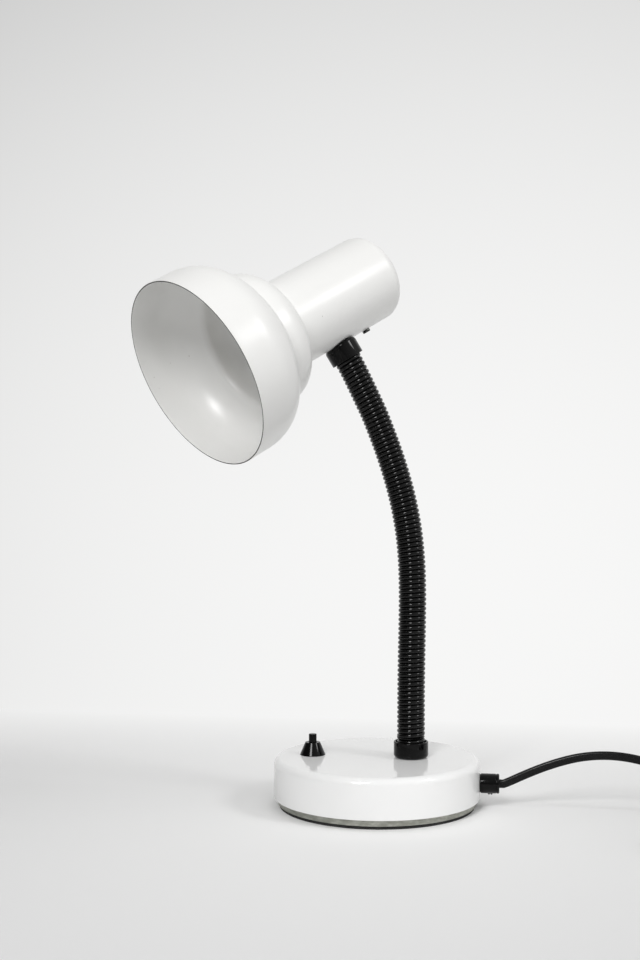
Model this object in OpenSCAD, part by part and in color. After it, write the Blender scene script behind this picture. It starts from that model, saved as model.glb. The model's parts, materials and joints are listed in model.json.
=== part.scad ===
// Gooseneck desk lamp: a round weighted base with a push switch, a ribbed gooseneck
// and a stepped spun shade on a can-shaped lamp housing. Millimetres, +Z up.
// The origin is the middle of the pad's underside, and the switch is at the front, towards -Y.

/* [Base] */
// Outer diameter of the round base
base_d = 130; // [126:1:150]
// Height of the base's top above the table
base_h = 30.5; // [30:0.5:40]
// Height of the cover's lower edge above the table
cover_lift = 5.8; // [5:0.1:6.5]
// Sheet thickness of the base cover
cover_t = 1.2; // [0.8:0.1:1.4]
// Radius of the cover's rounded top edge
cover_edge = 4.5; // [3:0.5:6]
// Thickness of the pad under the base
pad_t = 2; // [1.5:0.5:3]
// How far the pad stands in from the bottom plate's edge
pad_inset = 1; // [0.5:0.5:3]
// Thickness of the steel bottom plate
plate_t = 5; // [5:0.5:6]
// Gap between the bottom plate and the cover's wall
plate_gap = 1.3; // [0.8:0.1:2]
// Height of the iron weight
weight_h = 9; // [6:0.5:9.5]
// Gap between the iron weight and the pillars
weight_gap = 3.8; // [3:0.2:8]
// Radius of the threaded pillars that the bottom plate is screwed to
pillar_r = 3.5; // [3:0.25:4]
// Gap between a pillar and the cover's wall
pillar_gap = 2; // [1.5:0.5:3]

/* [Neck] */
// Length of the gooseneck between its two seats
neck_len = 265; // [220:5:320]
// Radius over the ribs
rib_r = 8.4; // [8.2:0.1:8.8]
// Radius at the bottom of the grooves
root_r = 7.5; // [7.3:0.1:7.7]
// Radius of the wire way through the neck
neck_bore_r = 4.5; // [4:0.1:5]
// Ribs on one link
link_ribs = 7; // [5:1:8]
// Width of a rib at its foot
rib_w = 1.4; // [1.2:0.04:1.6]
// Gap below a link that leaves it room to bend
bend_gap = 1.84; // [1.7:0.02:2.2]
// Radius of the ball that joins a link to the next one
ball_r = 6.8; // [6.5:0.1:6.9]
// Clearance between a ball and its socket
ball_gap = 0.15; // [0.1:0.05:0.2]
// Distance of the neck's foot behind the middle of the base
neck_y = 21.7; // [18:0.1:26]

/* [Neck cups] */
// Outer radius of the plastic cups at both ends of the neck
cup_r = 10.9; // [10.5:0.1:12]
// Wall thickness of a cup
cup_wall = 1.1; // [0.8:0.1:1.4]
// Height of the lower cup
cup_h = 10.3; // [9:0.1:14]
// Thickness of a cup's floor, which the neck stands on
cup_floor = 3; // [2.5:0.5:4]
// Radius of the lower cup's rounded lower edge
cup_edge = 2.3; // [1:0.1:2.5]
// Length of the upper cup's wall past its floor
collar_skirt = 7; // [5:0.5:9]

/* [Fasteners] */
// Outer radius of the threaded tubes that hold the neck
nipple_r = 5; // [4.8:0.1:5]
// Radius of the hole through a threaded tube
nipple_bore_r = 3.5; // [3:0.1:3.8]
// Clearance of a part round the shaft or tube that passes through it
fit = 0.05; // [0.03:0.01:0.1]
// Distance across the flats of the tube nuts
nut_af = 14; // [13:0.5:14]
// Thickness of the tube nuts
nut_t = 3; // [2.5:0.1:3]
// Radius of the flat washers
washer_r = 8; // [7.5:0.5:8.5]
// Thickness of the flat washers
washer_t = 0.8; // [0.5:0.1:1]
// Thread radius of the small screws
screw_r = 1.5; // [1.4:0.1:1.6]
// Head radius of the small screws
screw_head_r = 2.4; // [2.2:0.1:2.8]
// Head height of the small screws
screw_head_h = 1.6; // [1.2:0.1:1.8]

/* [Switch] */
// Distance from the base's front edge in to the switch
switch_in = 24; // [23:0.5:27]
// Foot radius of the conical ring nut
ring_r = 8.1; // [8:0.1:9]
// Top radius of the conical ring nut
ring_top_r = 4.2; // [4.1:0.1:5]
// Height of the conical ring nut
ring_h = 8; // [7.5:0.1:10]
// Radius of the push button
button_r = 2.5; // [2.2:0.1:2.8]
// How far the button stands above the ring nut
button_out = 5.2; // [4:0.1:6]
// Travel of the button
button_travel = 3; // [2:0.25:3]
// Clearance round the button
button_gap = 0.1; // [0.06:0.02:0.16]
// Radius of the switch's threaded bush
bush_r = 4.3; // [4.2:0.1:4.5]
// Height of the bush above the base's top
bush_up = 4.5; // [3:0.5:5]
// Width and depth of the switch's body
switch_w = 20; // [18:0.5:21]
// Height of the switch's body
switch_h = 15; // [14:0.25:15.5]

/* [Cord entry] */
// Height of the cord entry above the table
gland_z = 15.5; // [15:0.5:17]
// Outer radius of the gland
gland_r = 6.4; // [6.2:0.1:7]
// Length of the gland outside the cover
gland_len = 12.6; // [11:0.2:15]
// Radius of the gland's threaded end in the cover
spigot_r = 5; // [4.6:0.1:5.2]
// Width of the two-core cord, and the size of its plain round stand-in
cord_w = 5.4; // [5.2:0.1:5.6]
// Thickness of the two-core cord
cord_t = 3; // [2.8:0.1:3.2]
// Radius of one insulated core
core_r = 1.1; // [0.9:0.05:1.2]

/* [Shade] */
// Radius of the shade at its rim
rim_r = 60.4; // [58:0.2:66]
// Sheet thickness of the shade and the housing
sheet_t = 0.9; // [0.7:0.1:1]
// Straight length of the bowl behind the rim
bowl_straight = 17.5; // [15:0.5:20]
// Radius of the bowl's shoulder
bowl_arc = 27.7; // [26:0.1:30]
// Radius of the step behind the bowl
tier_r = 43.4; // [42:0.2:45]
// Distance from the rim to the step's shoulder
tier_z = 48.8; // [48:0.2:52]
// Radius of the step's shoulder
tier_arc = 16; // [15.4:0.2:18]

/* [Housing] */
// Radius of the lamp housing
housing_r = 28.3; // [28:0.1:29.5]
// Length of the lamp housing
housing_len = 89.4; // [86:0.2:100]
// Radius of the housing's rounded end
housing_edge = 7.7; // [6:0.1:9]
// Distance from the housing's front edge to the neck's axis
housing_front = 37.2; // [36:0.2:40]
// Turn of the head about the neck's end, from straight ahead
head_turn = 43; // [0:1:90]

/* [Lampholder] */
// Inner radius of the lampholder's screw shell
shell_bore_r = 13.2; // [13.1:0.05:13.4]
// Wall thickness of the screw shell
shell_t = 0.5; // [0.4:0.1:0.6]
// Length of the screw shell
shell_len = 20; // [18:0.5:22]
// Outer radius of the lampholder's front
holder_r = 18.5; // [17.5:0.1:18.7]
// Outer radius of the lampholder's back
holder_back_r = 14.6; // [14.2:0.2:15]
// Distance that the lampholder reaches in front of the housing
holder_out = 4.2; // [3.5:0.1:5]
// Distance from the neck's axis to the lampholder's back
holder_back = 10.6; // [10:0.2:12]
// Distance from the neck's axis to the bracket's outside screw
bracket_screw_y = 24; // [22:0.5:27]

/* [Plug] */
// Radius of the plug's pins
pin_r = 2; // [1.9:0.05:2.4]
// Free length of the plug's pins
pin_len = 19; // [17:0.5:20]
// Distance between the plug's pins
pin_gap = 18.6; // [18:0.2:19.2]

/* [Hidden] */
$fn = 64;
eps = 0.01;

// Base, from the table up
base_r = base_d / 2;
cover_in_r = base_r - cover_t;
plate_r = cover_in_r - plate_gap;
pad_r = plate_r - pad_inset;
plate_top = pad_t + plate_t;
cover_under = base_h - cover_t;
pillar_at_r = cover_in_r - pillar_gap - pillar_r;
pillar_angles = [30, 150, 270];
clamp_in = 20;
switch_y = base_r - switch_in;
clamp_y = base_r - clamp_in;
block_y = clamp_y - 13;
weight_r = pillar_at_r - pillar_r - weight_gap;
weight_screw_at = [[-30, 6], [30, 6]];
weight_slot_w = 30;
weight_slot_front = 17 - switch_y;
weight_slot_back = block_y - 10;

// Screws
countersink_h = 1.8;
slot_w = 0.6;
plate_screw_in = 6;
screw_hole_gap = 0.3;
thread_gap = 0.05;

// Nuts that hold the neck
nut_corner_r = nut_af / 2 / cos(30);
nut_lower_z = cover_under - washer_t - nut_t;
nipple_lower_z = nut_lower_z - 1;

// Neck, in its rest pose. These are the points of one Bezier curve, measured from the
// neck's foot, for a neck of the length below.
pose_len = 265;
pose_points = [[0, 0, 0], [0, 0, 48], [-5.3, -1.9, 131], [-11.3, 12.6, 122.7],
               [-11, -16.8, 208.6], [-3.7, -44.4, 255.6]];
pose_steps = 120;
neck_foot = [0, neck_y, base_h + cup_floor];
neck_links = 13;
lip_z = 0.25;
ball_end = 4;
nipple_grip = 8;

function bezier(p, t) = len(p) == 1 ? p[0] :
  bezier([for (i = [0:len(p) - 2]) (1 - t) * p[i] + t * p[i + 1]], t);
function unit(v) = v / norm(v);
function running_sum(v, i = 0, s = 0) = i == len(v) ? [s] :
  concat([s], running_sum(v, i + 1, s + v[i]));
function arc(cx, cy, r, a0, a1, n) =
  [for (i = [0:n]) let (a = a0 + (a1 - a0) * i / n) [cx + r * cos(a), cy + r * sin(a)]];

pose_curve = [for (i = [0:pose_steps])
  neck_foot + bezier(pose_points, i / pose_steps) * neck_len / pose_len];
pose_runs = running_sum([for (i = [1:pose_steps]) norm(pose_curve[i] - pose_curve[i - 1])]);
pose_table = [for (k = [0:2]) [for (i = [0:pose_steps]) [pose_runs[i], pose_curve[i][k]]]];
neck_run = pose_runs[pose_steps];
link_len = neck_run / neck_links;
shoulder_z = link_len - bend_gap;
rib_first = lip_z + rib_w / 2;
rib_pitch = (shoulder_z - lip_z - rib_w) / (link_ribs - 1);
function on_neck(s) = [for (k = [0:2]) lookup(s, pose_table[k])];

neck_end = pose_curve[pose_steps];
neck_dir = unit(pose_points[5] - pose_points[4]);
head_side = atan2(neck_dir[0], neck_dir[2]);
head_lean = asin(-neck_dir[1]);
hinges = [for (i = [0:neck_links])
  i == 0 ? neck_foot :
  i == 1 ? neck_foot + [0, 0, link_len] :
  i == neck_links - 1 ? neck_end - link_len * neck_dir :
  i == neck_links ? neck_end : on_neck(neck_run * i / neck_links)];

// Head, in its own frame: the origin is where the neck's axis meets the housing's axis,
// +Y runs back along the housing and +Z away from the neck.
seat_z = -(housing_r + cup_floor);
head_pos = neck_end - seat_z * neck_dir;
shade_len = tier_z + sqrt(pow(tier_arc, 2) - pow(housing_r - tier_r + tier_arc, 2));
rim_y = -(housing_front + shade_len);
housing_in_r = housing_r - sheet_t;
saddle_r = washer_r + 0.5;
saddle_top = -sqrt(pow(housing_in_r, 2) - pow(saddle_r, 2)) + 1;
swivel_gap = 0.1;
washer_z = saddle_top + swivel_gap;
nut_z = washer_z + washer_t;
nipple_end = nut_z + nut_t + 0.6;
holder_front = -(housing_front + holder_out);
shell_in = 1.5;
contact_drop = 3.5;
contact_y = holder_front + shell_in + shell_len + contact_drop;
holder_flange = 3.5;
ring_edge_r = holder_r + 3.2;
bracket_t = 1.2;
bracket_w = 13;
bracket_len = 19;
bracket_up = 5;
bracket_y = holder_back + fit;
bracket_foot_z = -sqrt(pow(housing_in_r, 2) - pow(bracket_w / 2, 2)) + fit;
holder_screw_x = 4;
holder_screw_len = 7.5;
terminal_size = [4.4, 5, 6];
terminal_x = 10.6;
wire_hole_y = holder_back + terminal_size[1] / 2;

// Switch
body_z = cover_under - switch_h;
cavity_top = cover_under - 4.5;
flange_t = 1.5;
flange_r = 3.6;
switch_cavity_r = 4;
flange_z = cavity_top - flange_t - button_gap;
button_top = base_h + ring_h + button_out;
spring_wire = 0.3;
spring_r = 2.4;
spring_turns = 5;
spring_gap = 0.05;
spring_shut = 2 * spring_wire * (spring_turns + 1) + 0.6;
cavity_floor = flange_z - button_travel - spring_shut;
tag_size = [3.4, 5.6, 4.1];
tag_x = switch_w / 2 - 1.5;
tag_out = 0.2;

// Cord inside the base
gland_end = base_r + gland_len;
gland_nut_y = sqrt(pow(cover_in_r, 2) - pow(nut_corner_r, 2));
cord_r = cord_w / 2;
clamp_size = [20, 7, 3];
clamp_screw_x = 7;
clamp_low = gland_z - cord_r;
clamp_high = gland_z + cord_r;
clamp_pinch = 0.8;
clamp_top = clamp_high - clamp_pinch + clamp_size[2];
cord_inner_y = clamp_y - 4;
block_size = [20, 11, 11];
block_pole_x = 5;
block_wire_r = 1.8;
block_screw_r = 2;
wire_z = plate_top + 5;

// Cord outside. The route's points are chosen by hand: out of the gland, over a low arch and
// down on to the table behind the base, where the coil starts.
lead_route = [[0, 77.6, 15.5], [0, 79.6, 15.5], [0, 84.5, 17.6], [0, 92, 21.2],
  [0, 103, 26], [0, 114, 30], [0, 125, 33], [0, 136, 34.6], [0, 147, 34.8], [0, 158, 33.6], [0, 169, 31],
  [0, 180, 27], [0, 191, 22], [0, 202, 16.6], [0, 213, 11.6], [0, 224, 7.6],
  [0, 234, 4.8], [0, 244, 3.2], [0, 252, 2.8]];
tail_route = [[62.2, 278.6, 8.4], [70.2, 271.6, 7.6], [76.8, 263.8, 6.2], [81.2, 255.6, 5.6],
  [83.4, 248, 6], [84, 242.5, 6.7], [84, 238, 6.8]];
coil_at = [36, 252];
turn_r = 22.8;
turn_step = 3.3;
turn_gap = 0.2;
coil_turns = 4.4;
coil_edge = 1.5;
coil_in_r = turn_r - cord_t / 2 - turn_gap;
coil_out_r = turn_r + coil_turns * turn_step + cord_t / 2 + turn_gap;
coil_h = 2 * (cord_w + turn_gap);
plug_at = [84, 238, 6.8];
plug_neck = 22;
plug_len = 34;
plug_w = 26;
pin_root = 8;
pin_root_r = pin_r + 0.5;
pin_tip = 1;
plug_face = plug_at[1] - plug_neck - plug_len;

// ---- Shapes used more than once

// Hexagon nut with a corner towards +X and chamfered corners on top
module hex_nut(af, t, hole_r) {
  corner = af / 2 / cos(30);
  difference() {
    cylinder(r = corner, h = t, $fn = 6);
    translate([0, 0, -1]) cylinder(r = hole_r, h = t + 2);
    translate([0, 0, t]) rotate_extrude()
      polygon([[af / 2, eps], [corner + 1, eps], [corner + 1, -1], [corner, -0.6]]);
  }
}

// Washer, bush or threaded tube with a plain outside
module tube(r, bore, h) {
  difference() {
    cylinder(r = r, h = h);
    translate([0, 0, -1]) cylinder(r = bore, h = h + 2);
  }
}

// Slotted pan-head screw, head up, the head's underside at z = 0
module pan_screw(length, head_h = screw_head_h) {
  difference() {
    union() {
      translate([0, 0, -length]) cylinder(r = screw_r, h = length + eps);
      cylinder(r1 = screw_head_r, r2 = screw_head_r * 0.72, h = head_h);
    }
    translate([-screw_head_r, -slot_w / 2, head_h * 0.5]) cube([2 * screw_head_r, slot_w, head_h]);
  }
}

// Slotted countersunk screw, head down, the head's face at z = 0
module flat_screw(length) {
  head_r = screw_r + countersink_h;
  difference() {
    union() {
      cylinder(r1 = head_r, r2 = screw_r, h = countersink_h);
      cylinder(r = screw_r, h = length);
    }
    translate([-head_r - 1, -slot_w / 2, -1]) cube([2 * head_r + 2, slot_w, 1.8]);
  }
}

// Headless screw with a slot on top, standing at z = 0
module grub_screw(r, length) {
  difference() {
    cylinder(r = r, h = length);
    translate([-r - 1, -slot_w / 2, length - 0.8]) cube([2 * r + 2, slot_w, 2]);
  }
}

// Round bar swept along a list of points, with one ring at each point
module bar_along(points, r, sides, ref = [0, 0, 1]) {
  n = len(points);
  function dir(i) = unit(points[min(i + 1, n - 1)] - points[max(i - 1, 0)]);
  rings = [for (i = [0:n - 1])
    let (t = dir(i), u = unit(cross(ref, t)), v = cross(t, u))
    for (k = [0:sides - 1])
      let (a = 360 * k / sides) points[i] + r * (cos(a) * u + sin(a) * v)];
  walls = [for (i = [0:n - 2], k = [0:sides - 1], half = [0:1])
    let (a = i * sides + k, b = i * sides + (k + 1) % sides)
    half == 0 ? [a, a + sides, b + sides] : [a, b + sides, b]];
  ends = [[for (k = [0:sides - 1]) k], [for (k = [0:sides - 1]) n * sides - 1 - k]];
  polyhedron(points = rings, faces = concat(walls, ends), convexity = 6);
}

// ---- Base

// Half section of a round lid with a rounded top edge
module lid_section(r, z0, z1, edge) {
  translate([0, z0]) square([r, z1 - z0 - edge]);
  translate([0, z0]) square([r - edge, z1 - z0]);
  translate([r - edge, z1 - edge]) circle(edge);
}

module base_cover() {
  color("white") difference() {
    union() {
      rotate_extrude($fn = 128) difference() {
        lid_section(base_r, cover_lift, base_h, cover_edge);
        lid_section(cover_in_r, cover_lift - 1, cover_under, cover_edge - cover_t);
        translate([-base_d, 0]) square([base_d, base_d]);
      }
      for (a = pillar_angles) rotate([0, 0, a]) translate([pillar_at_r, 0, plate_top])
        cylinder(r = pillar_r, h = cover_under - plate_top + eps);
    }
    for (a = pillar_angles) rotate([0, 0, a]) translate([pillar_at_r, 0, plate_top - 1])
      cylinder(r = screw_r + thread_gap, h = plate_screw_in + 2);
    translate([0, neck_y, cover_under - 1]) cylinder(r = nipple_r + fit, h = cover_t + 2);
    translate([0, -switch_y, cover_under - 1]) cylinder(r = bush_r + fit, h = cover_t + 2);
    translate([0, cover_in_r - 3, gland_z]) rotate([-90, 0, 0])
      cylinder(r = spigot_r + fit, h = cover_t + 6);
  }
}

module screw_places(bottom) {
  for (a = pillar_angles) rotate([0, 0, a]) translate([pillar_at_r, 0, bottom]) children();
  for (p = weight_screw_at) translate([p[0], p[1], bottom]) children();
}

module clamp_screw_places(z) {
  for (s = [-1, 1]) translate([s * clamp_screw_x, clamp_y, z]) children();
}

module base_plate() {
  hole_r = screw_r + screw_hole_gap;
  color("gray") difference() {
    translate([0, 0, pad_t]) cylinder(r = plate_r, h = plate_t, $fn = 128);
    screw_places(pad_t - 1) cylinder(r = hole_r, h = plate_t + 2);
    screw_places(pad_t - eps)
      cylinder(r1 = hole_r + countersink_h, r2 = hole_r, h = countersink_h);
    clamp_screw_places(pad_t + 2) cylinder(r = screw_r + thread_gap, h = plate_t);
  }
}

module foot_pad() {
  color("black") cylinder(r = pad_r, h = pad_t, $fn = 128);
}

module ballast_weight() {
  color("dimgray") difference() {
    translate([0, 0, plate_top]) cylinder(r = weight_r, h = weight_h);
    translate([-weight_slot_w / 2, -weight_r - 1, plate_top - 1])
      cube([weight_slot_w, weight_r + 1 + weight_slot_front, weight_h + 2]);
    translate([-weight_slot_w / 2, weight_slot_back, plate_top - 1])
      cube([weight_slot_w, weight_r, weight_h + 2]);
    for (p = weight_screw_at) translate([p[0], p[1], plate_top - 1])
      cylinder(r = screw_r + thread_gap, h = plate_screw_in + 1);
  }
}

module plate_screws() {
  color("silver") screw_places(pad_t) flat_screw(plate_t + plate_screw_in);
}

// ---- Foot of the neck

module neck_cup_lower() {
  color("black") translate([0, neck_y, base_h]) difference() {
    rotate_extrude() difference() {
      union() {
        translate([0, cup_edge]) square([cup_r, cup_h - cup_edge]);
        square([cup_r - cup_edge, cup_h]);
        translate([cup_r - cup_edge, cup_edge]) circle(cup_edge);
      }
      translate([-cup_r, -1]) square([cup_r, cup_h + 2]);
      translate([0, cup_floor]) square([cup_r - cup_wall, cup_h]);
    }
    translate([0, 0, -1]) cylinder(r = nipple_r + fit, h = cup_h);
  }
}

module neck_nipple_lower() {
  color("silver") translate([0, neck_y, nipple_lower_z])
    tube(nipple_r, nipple_bore_r, neck_foot[2] + nipple_grip - nipple_lower_z);
}

module neck_washer_lower() {
  color("silver") translate([0, neck_y, cover_under - washer_t])
    tube(washer_r, nipple_r + fit, washer_t);
}

module neck_nut_lower() {
  color("silver") translate([0, neck_y, nut_lower_z]) hex_nut(nut_af, nut_t, nipple_r + fit);
}

// ---- Switch

module at_switch(z) {
  translate([0, -switch_y, z]) children();
}

module switch_body() {
  color("black") at_switch(0) difference() {
    union() {
      translate([-switch_w / 2, -switch_w / 2, body_z]) cube([switch_w, switch_w, switch_h]);
      translate([0, 0, cover_under - eps]) cylinder(r = bush_r, h = cover_t + bush_up);
    }
    translate([0, 0, cavity_floor]) cylinder(r = switch_cavity_r, h = cavity_top - cavity_floor);
    translate([0, 0, cavity_top - eps])
      cylinder(r = button_r + button_gap, h = base_h + bush_up - cavity_top + 1);
    // slots that the two terminal tags stand in
    for (s = [-1, 1]) translate([s * tag_x, 0, body_z + tag_size[2] / 2])
      cube([tag_size[0] + 2.6, tag_size[1] + 0.4, tag_size[2] + 2], center = true);
  }
}

module switch_ring() {
  edge = 0.4;
  color("black") at_switch(base_h) difference() {
    rotate_extrude() polygon([[0, 0], [ring_r, 0], [ring_r, 0.6], [ring_top_r, ring_h - edge],
      [ring_top_r - edge, ring_h], [0, ring_h]]);
    translate([0, 0, -1]) cylinder(r = bush_r + fit, h = bush_up + 1.5);
    cylinder(r = button_r + button_gap, h = ring_h + 1);
  }
}

module switch_button() {
  edge = 0.5;
  h = button_top - flange_z;
  color("black") at_switch(flange_z) rotate_extrude() {
    square([flange_r, flange_t]);
    square([button_r, h - edge]);
    square([button_r - edge, h]);
    translate([button_r - edge, h - edge]) circle(edge, $fn = 24);
  }
}

module switch_spring() {
  low = cavity_floor + spring_wire + spring_gap;
  high = flange_z - spring_wire - spring_gap;
  steps = 12 * spring_turns;
  color("silver") at_switch(0)
    bar_along([for (i = [0:steps]) let (a = 360 * spring_turns * i / steps)
      [spring_r * cos(a), spring_r * sin(a), low + (high - low) * i / steps]], spring_wire, 6);
}

module switch_terminals() {
  color("gold") for (s = [-1, 1]) translate([s * tag_x, -switch_y, body_z - tag_out])
    difference() {
      translate([0, 0, tag_size[2] / 2]) cube(tag_size, center = true);
      translate([0, 0, -1]) cylinder(r = core_r + 0.1, h = 3);
    }
}

// ---- Cord entry

module along_y(y, z) {
  translate([0, y, z]) rotate([-90, 0, 0]) children();
}

module cord_gland() {
  edge = 1;
  rib = 0.35;
  inner_y = gland_nut_y - nut_t - 1;
  color("black") difference() {
    union() {
      along_y(base_r, gland_z) rotate_extrude() polygon([[0, 0], [gland_r - rib, 0],
        [gland_r, edge], [gland_r, gland_len - 2 * edge],
        [gland_r - rib, gland_len - 2 * edge + rib], [gland_r - rib, gland_len - edge / 2],
        [gland_r - edge, gland_len], [0, gland_len]]);
      along_y(inner_y, gland_z) cylinder(r = spigot_r, h = base_r - inner_y + eps);
    }
    along_y(inner_y - 1, gland_z) cylinder(r = cord_r + fit, h = gland_end - inner_y + 2);
    translate([0, base_r + gland_len / 2, gland_z - gland_r - 1])
      cylinder(r = screw_r + thread_gap, h = gland_r);
  }
}

module gland_nut() {
  color("black") along_y(gland_nut_y - nut_t, gland_z) hex_nut(nut_af, nut_t, spigot_r + fit);
}

module gland_screw() {
  proud = 0.4;
  color("black") translate([0, base_r + gland_len / 2, gland_z - cord_r - 0.1])
    rotate([180, 0, 0]) grub_screw(screw_r, gland_r + proud - cord_r - 0.1);
}

module cord_clamp() {
  size = clamp_size;
  low_h = clamp_low + 1 - plate_top;
  color("ivory") difference() {
    translate([-size[0] / 2, clamp_y - size[1] / 2, 0]) {
      translate([0, 0, plate_top]) cube([size[0], size[1], low_h]);
      translate([0, 0, clamp_top - size[2]]) cube(size);
    }
    along_y(clamp_y - size[1], gland_z) cylinder(r = cord_r + 0.02, h = 2 * size[1]);
    clamp_screw_places(plate_top - 1) cylinder(r = screw_r + 0.1, h = clamp_top - plate_top + 2);
  }
}

module clamp_screws() {
  color("silver") clamp_screw_places(clamp_top) pan_screw(clamp_top - pad_t - 2.2);
}

module terminal_block() {
  size = block_size;
  color("ivory") translate([0, block_y, plate_top]) difference() {
    translate([-size[0] / 2, -size[1] / 2, 0]) cube(size);
    for (s = [-1, 1]) translate([s * block_pole_x, 0, wire_z - plate_top]) {
      rotate([90, 0, 0]) cylinder(r = block_wire_r, h = 2 * size[1], center = true);
      cylinder(r = block_screw_r + 0.1, h = size[2]);
    }
    // notch between the two poles
    translate([-1, -size[1], size[2] - 4]) cube([2, 2 * size[1], 5]);
  }
}

module terminal_screws() {
  color("silver") for (s = [-1, 1])
    translate([s * block_pole_x, block_y, wire_z + block_wire_r + 0.1]) grub_screw(block_screw_r, 3);
}

module cord_inner() {
  color("black") along_y(cord_inner_y, gland_z) cylinder(r = cord_r, h = gland_end - cord_inner_y);
}

// Single cores: cord to terminal block, block to neck, and cord to switch to neck
module base_wires() {
  from_y = cord_inner_y - 0.1;
  core_x = core_r + 0.3;
  neck_z = nipple_lower_z - 0.2;
  over_z = plate_top + weight_h + 2.6;
  under_z = body_z - 3.6;
  side_x = weight_slot_w / 2;
  switch_side_x = switch_w / 2 + 1.4;
  switch_back_y = 8.6 - switch_y;
  color("saddlebrown") {
    bar_along([[core_x, from_y, gland_z], [core_x, from_y - 1, gland_z],
      [core_x + 2, from_y - 2, wire_z + 1.6], [block_pole_x, from_y - 2.9, wire_z],
      [block_pole_x, block_y + 1, wire_z]], core_r, 8, [1, 0, 0]);
    bar_along([[block_pole_x, block_y - 1, wire_z], [block_pole_x, block_y - 6, wire_z + 0.4],
      [block_pole_x - 0.4, block_y - 7, wire_z + 3], [core_x + 1.6, neck_y + 1, neck_z - 4],
      [core_x, neck_y, neck_z - 1.5], [core_x, neck_y, neck_z]], core_r, 8, [1, 0, 0]);
  }
  color("steelblue") {
    bar_along([[-core_x, from_y, gland_z], [-core_x, from_y - 1, gland_z],
      [-core_x - 3, from_y - 2, over_z + 0.9], [5.6 - side_x, block_y, over_z + 1.3],
      [2 - side_x, block_y - 10, over_z + 1], [-side_x, block_y - 28, over_z],
      [0.4 - side_x, switch_back_y + 18.4, over_z], [1.6 - side_x, switch_back_y + 7.4, over_z - 0.4],
      [-switch_side_x, switch_back_y, body_z - 1.6], [-tag_x - 0.6, 3 - switch_y, under_z],
      [-tag_x, -switch_y, body_z - 2.4], [-tag_x, -switch_y, body_z - 0.4]],
      core_r, 8, [0.3, 0.2, 1]);
    bar_along([[tag_x, -switch_y, body_z - 0.4], [tag_x, -switch_y, body_z - 2.4],
      [tag_x + 0.6, 3 - switch_y, under_z], [switch_side_x, switch_back_y, body_z - 1.6],
      [side_x - 1.6, switch_back_y + 7.4, over_z - 0.4], [side_x - 3, switch_back_y + 24.4, over_z],
      [side_x - 7, neck_y - 13.7, over_z], [2, neck_y - 3, over_z + 0.3],
      [-core_x, neck_y, neck_z - 1.5], [-core_x, neck_y, neck_z]], core_r, 8, [0.3, 0.2, 1]);
  }
}

// ---- Gooseneck

// Half section of one link: socket below, ribs outside, ball on top
module link_section() {
  socket_r = ball_r + ball_gap;
  rib_h = rib_r - root_r;
  lip_a = asin(lip_z / socket_r);
  bore_a = acos(neck_bore_r / socket_r);
  ball_low_a = -asin((link_len - shoulder_z) / ball_r);
  ball_high_a = asin(ball_end / ball_r);
  ribs = [for (k = [0:link_ribs - 1], j = [0:4])
    let (a = 180 - 45 * j, z = rib_first + k * rib_pitch)
    [root_r + rib_h * sin(a), z - rib_w / 2 * cos(180 - a)]];
  polygon(concat(
    arc(0, 0, socket_r, bore_a, lip_a, 6),
    [[root_r, lip_z]], ribs, [[root_r, shoulder_z]],
    arc(0, link_len, ball_r, ball_low_a, ball_high_a, 6),
    [[neck_bore_r, link_len + ball_end]]));
}

// Puts children on the line from one hinge point to the next
module on_link(i) {
  d = unit(hinges[i + 1] - hinges[i]);
  translate(hinges[i]) rotate([0, acos(d[2]), atan2(d[1], d[0])]) children();
}

module neck_link(i) {
  first = i == 0;
  last = i == neck_links - 1;
  color([0.08, 0.08, 0.08]) on_link(i) difference() {
    union() {
      intersection() {
        rotate_extrude() link_section();
        translate([0, 0, first ? 0 : -1])
          cylinder(r = rib_r + 1, h = last ? link_len + 1 - swivel_gap : 2 * link_len);
      }
      // solid foot that stands in the lower cup
      if (first) cylinder(r = root_r, h = nipple_grip);
      // solid end that stands in the upper cup
      if (last) translate([0, 0, link_len - nipple_grip])
        cylinder(r = root_r, h = nipple_grip - swivel_gap);
    }
    if (first) translate([0, 0, -1]) cylinder(r = nipple_r + fit, h = nipple_grip + 1);
    if (last) translate([0, 0, link_len - nipple_grip])
      cylinder(r = nipple_r + fit, h = nipple_grip + 1);
    if (first || last) cylinder(r = neck_bore_r, h = link_len);
  }
}

// ---- Head

module in_head() {
  translate(head_pos) rotate([0, head_side, 0]) rotate([head_lean, 0, 0])
    rotate([0, 0, head_turn]) children();
}

module housing_axis(y) {
  in_head() translate([0, y, 0]) rotate([-90, 0, 0]) children();
}

module housing_outline(r) {
  rotate([90, 0, 0]) cylinder(r = r, h = 4 * housing_r, center = true, $fn = 128);
}

module neck_cup_upper() {
  cup_top = 1 - sqrt(pow(housing_r, 2) - pow(cup_r, 2));
  low = seat_z - collar_skirt;
  color("black") in_head() difference() {
    translate([0, 0, low]) cylinder(r = cup_r, h = cup_top - low);
    translate([0, 0, low - 1]) cylinder(r = cup_r - cup_wall, h = collar_skirt + 1);
    translate([0, 0, low]) cylinder(r = nipple_r + fit, h = cup_top - low + 1);
    housing_outline(housing_r);
  }
}

module neck_nipple_upper() {
  low = seat_z - nipple_grip;
  color("silver") in_head() translate([0, 0, low]) tube(nipple_r, nipple_bore_r, nipple_end - low);
}

module saddle_washer() {
  color("black") in_head() intersection() {
    translate([0, 0, -housing_r]) tube(saddle_r, nipple_r + fit, housing_r + saddle_top);
    housing_outline(housing_in_r);
  }
}

module neck_washer_upper() {
  color("silver") in_head() translate([0, 0, washer_z]) tube(washer_r, nipple_r + fit, washer_t);
}

module neck_nut_upper() {
  color("silver") in_head() translate([0, 0, nut_z]) hex_nut(nut_af, nut_t, nipple_r + fit);
}

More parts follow.
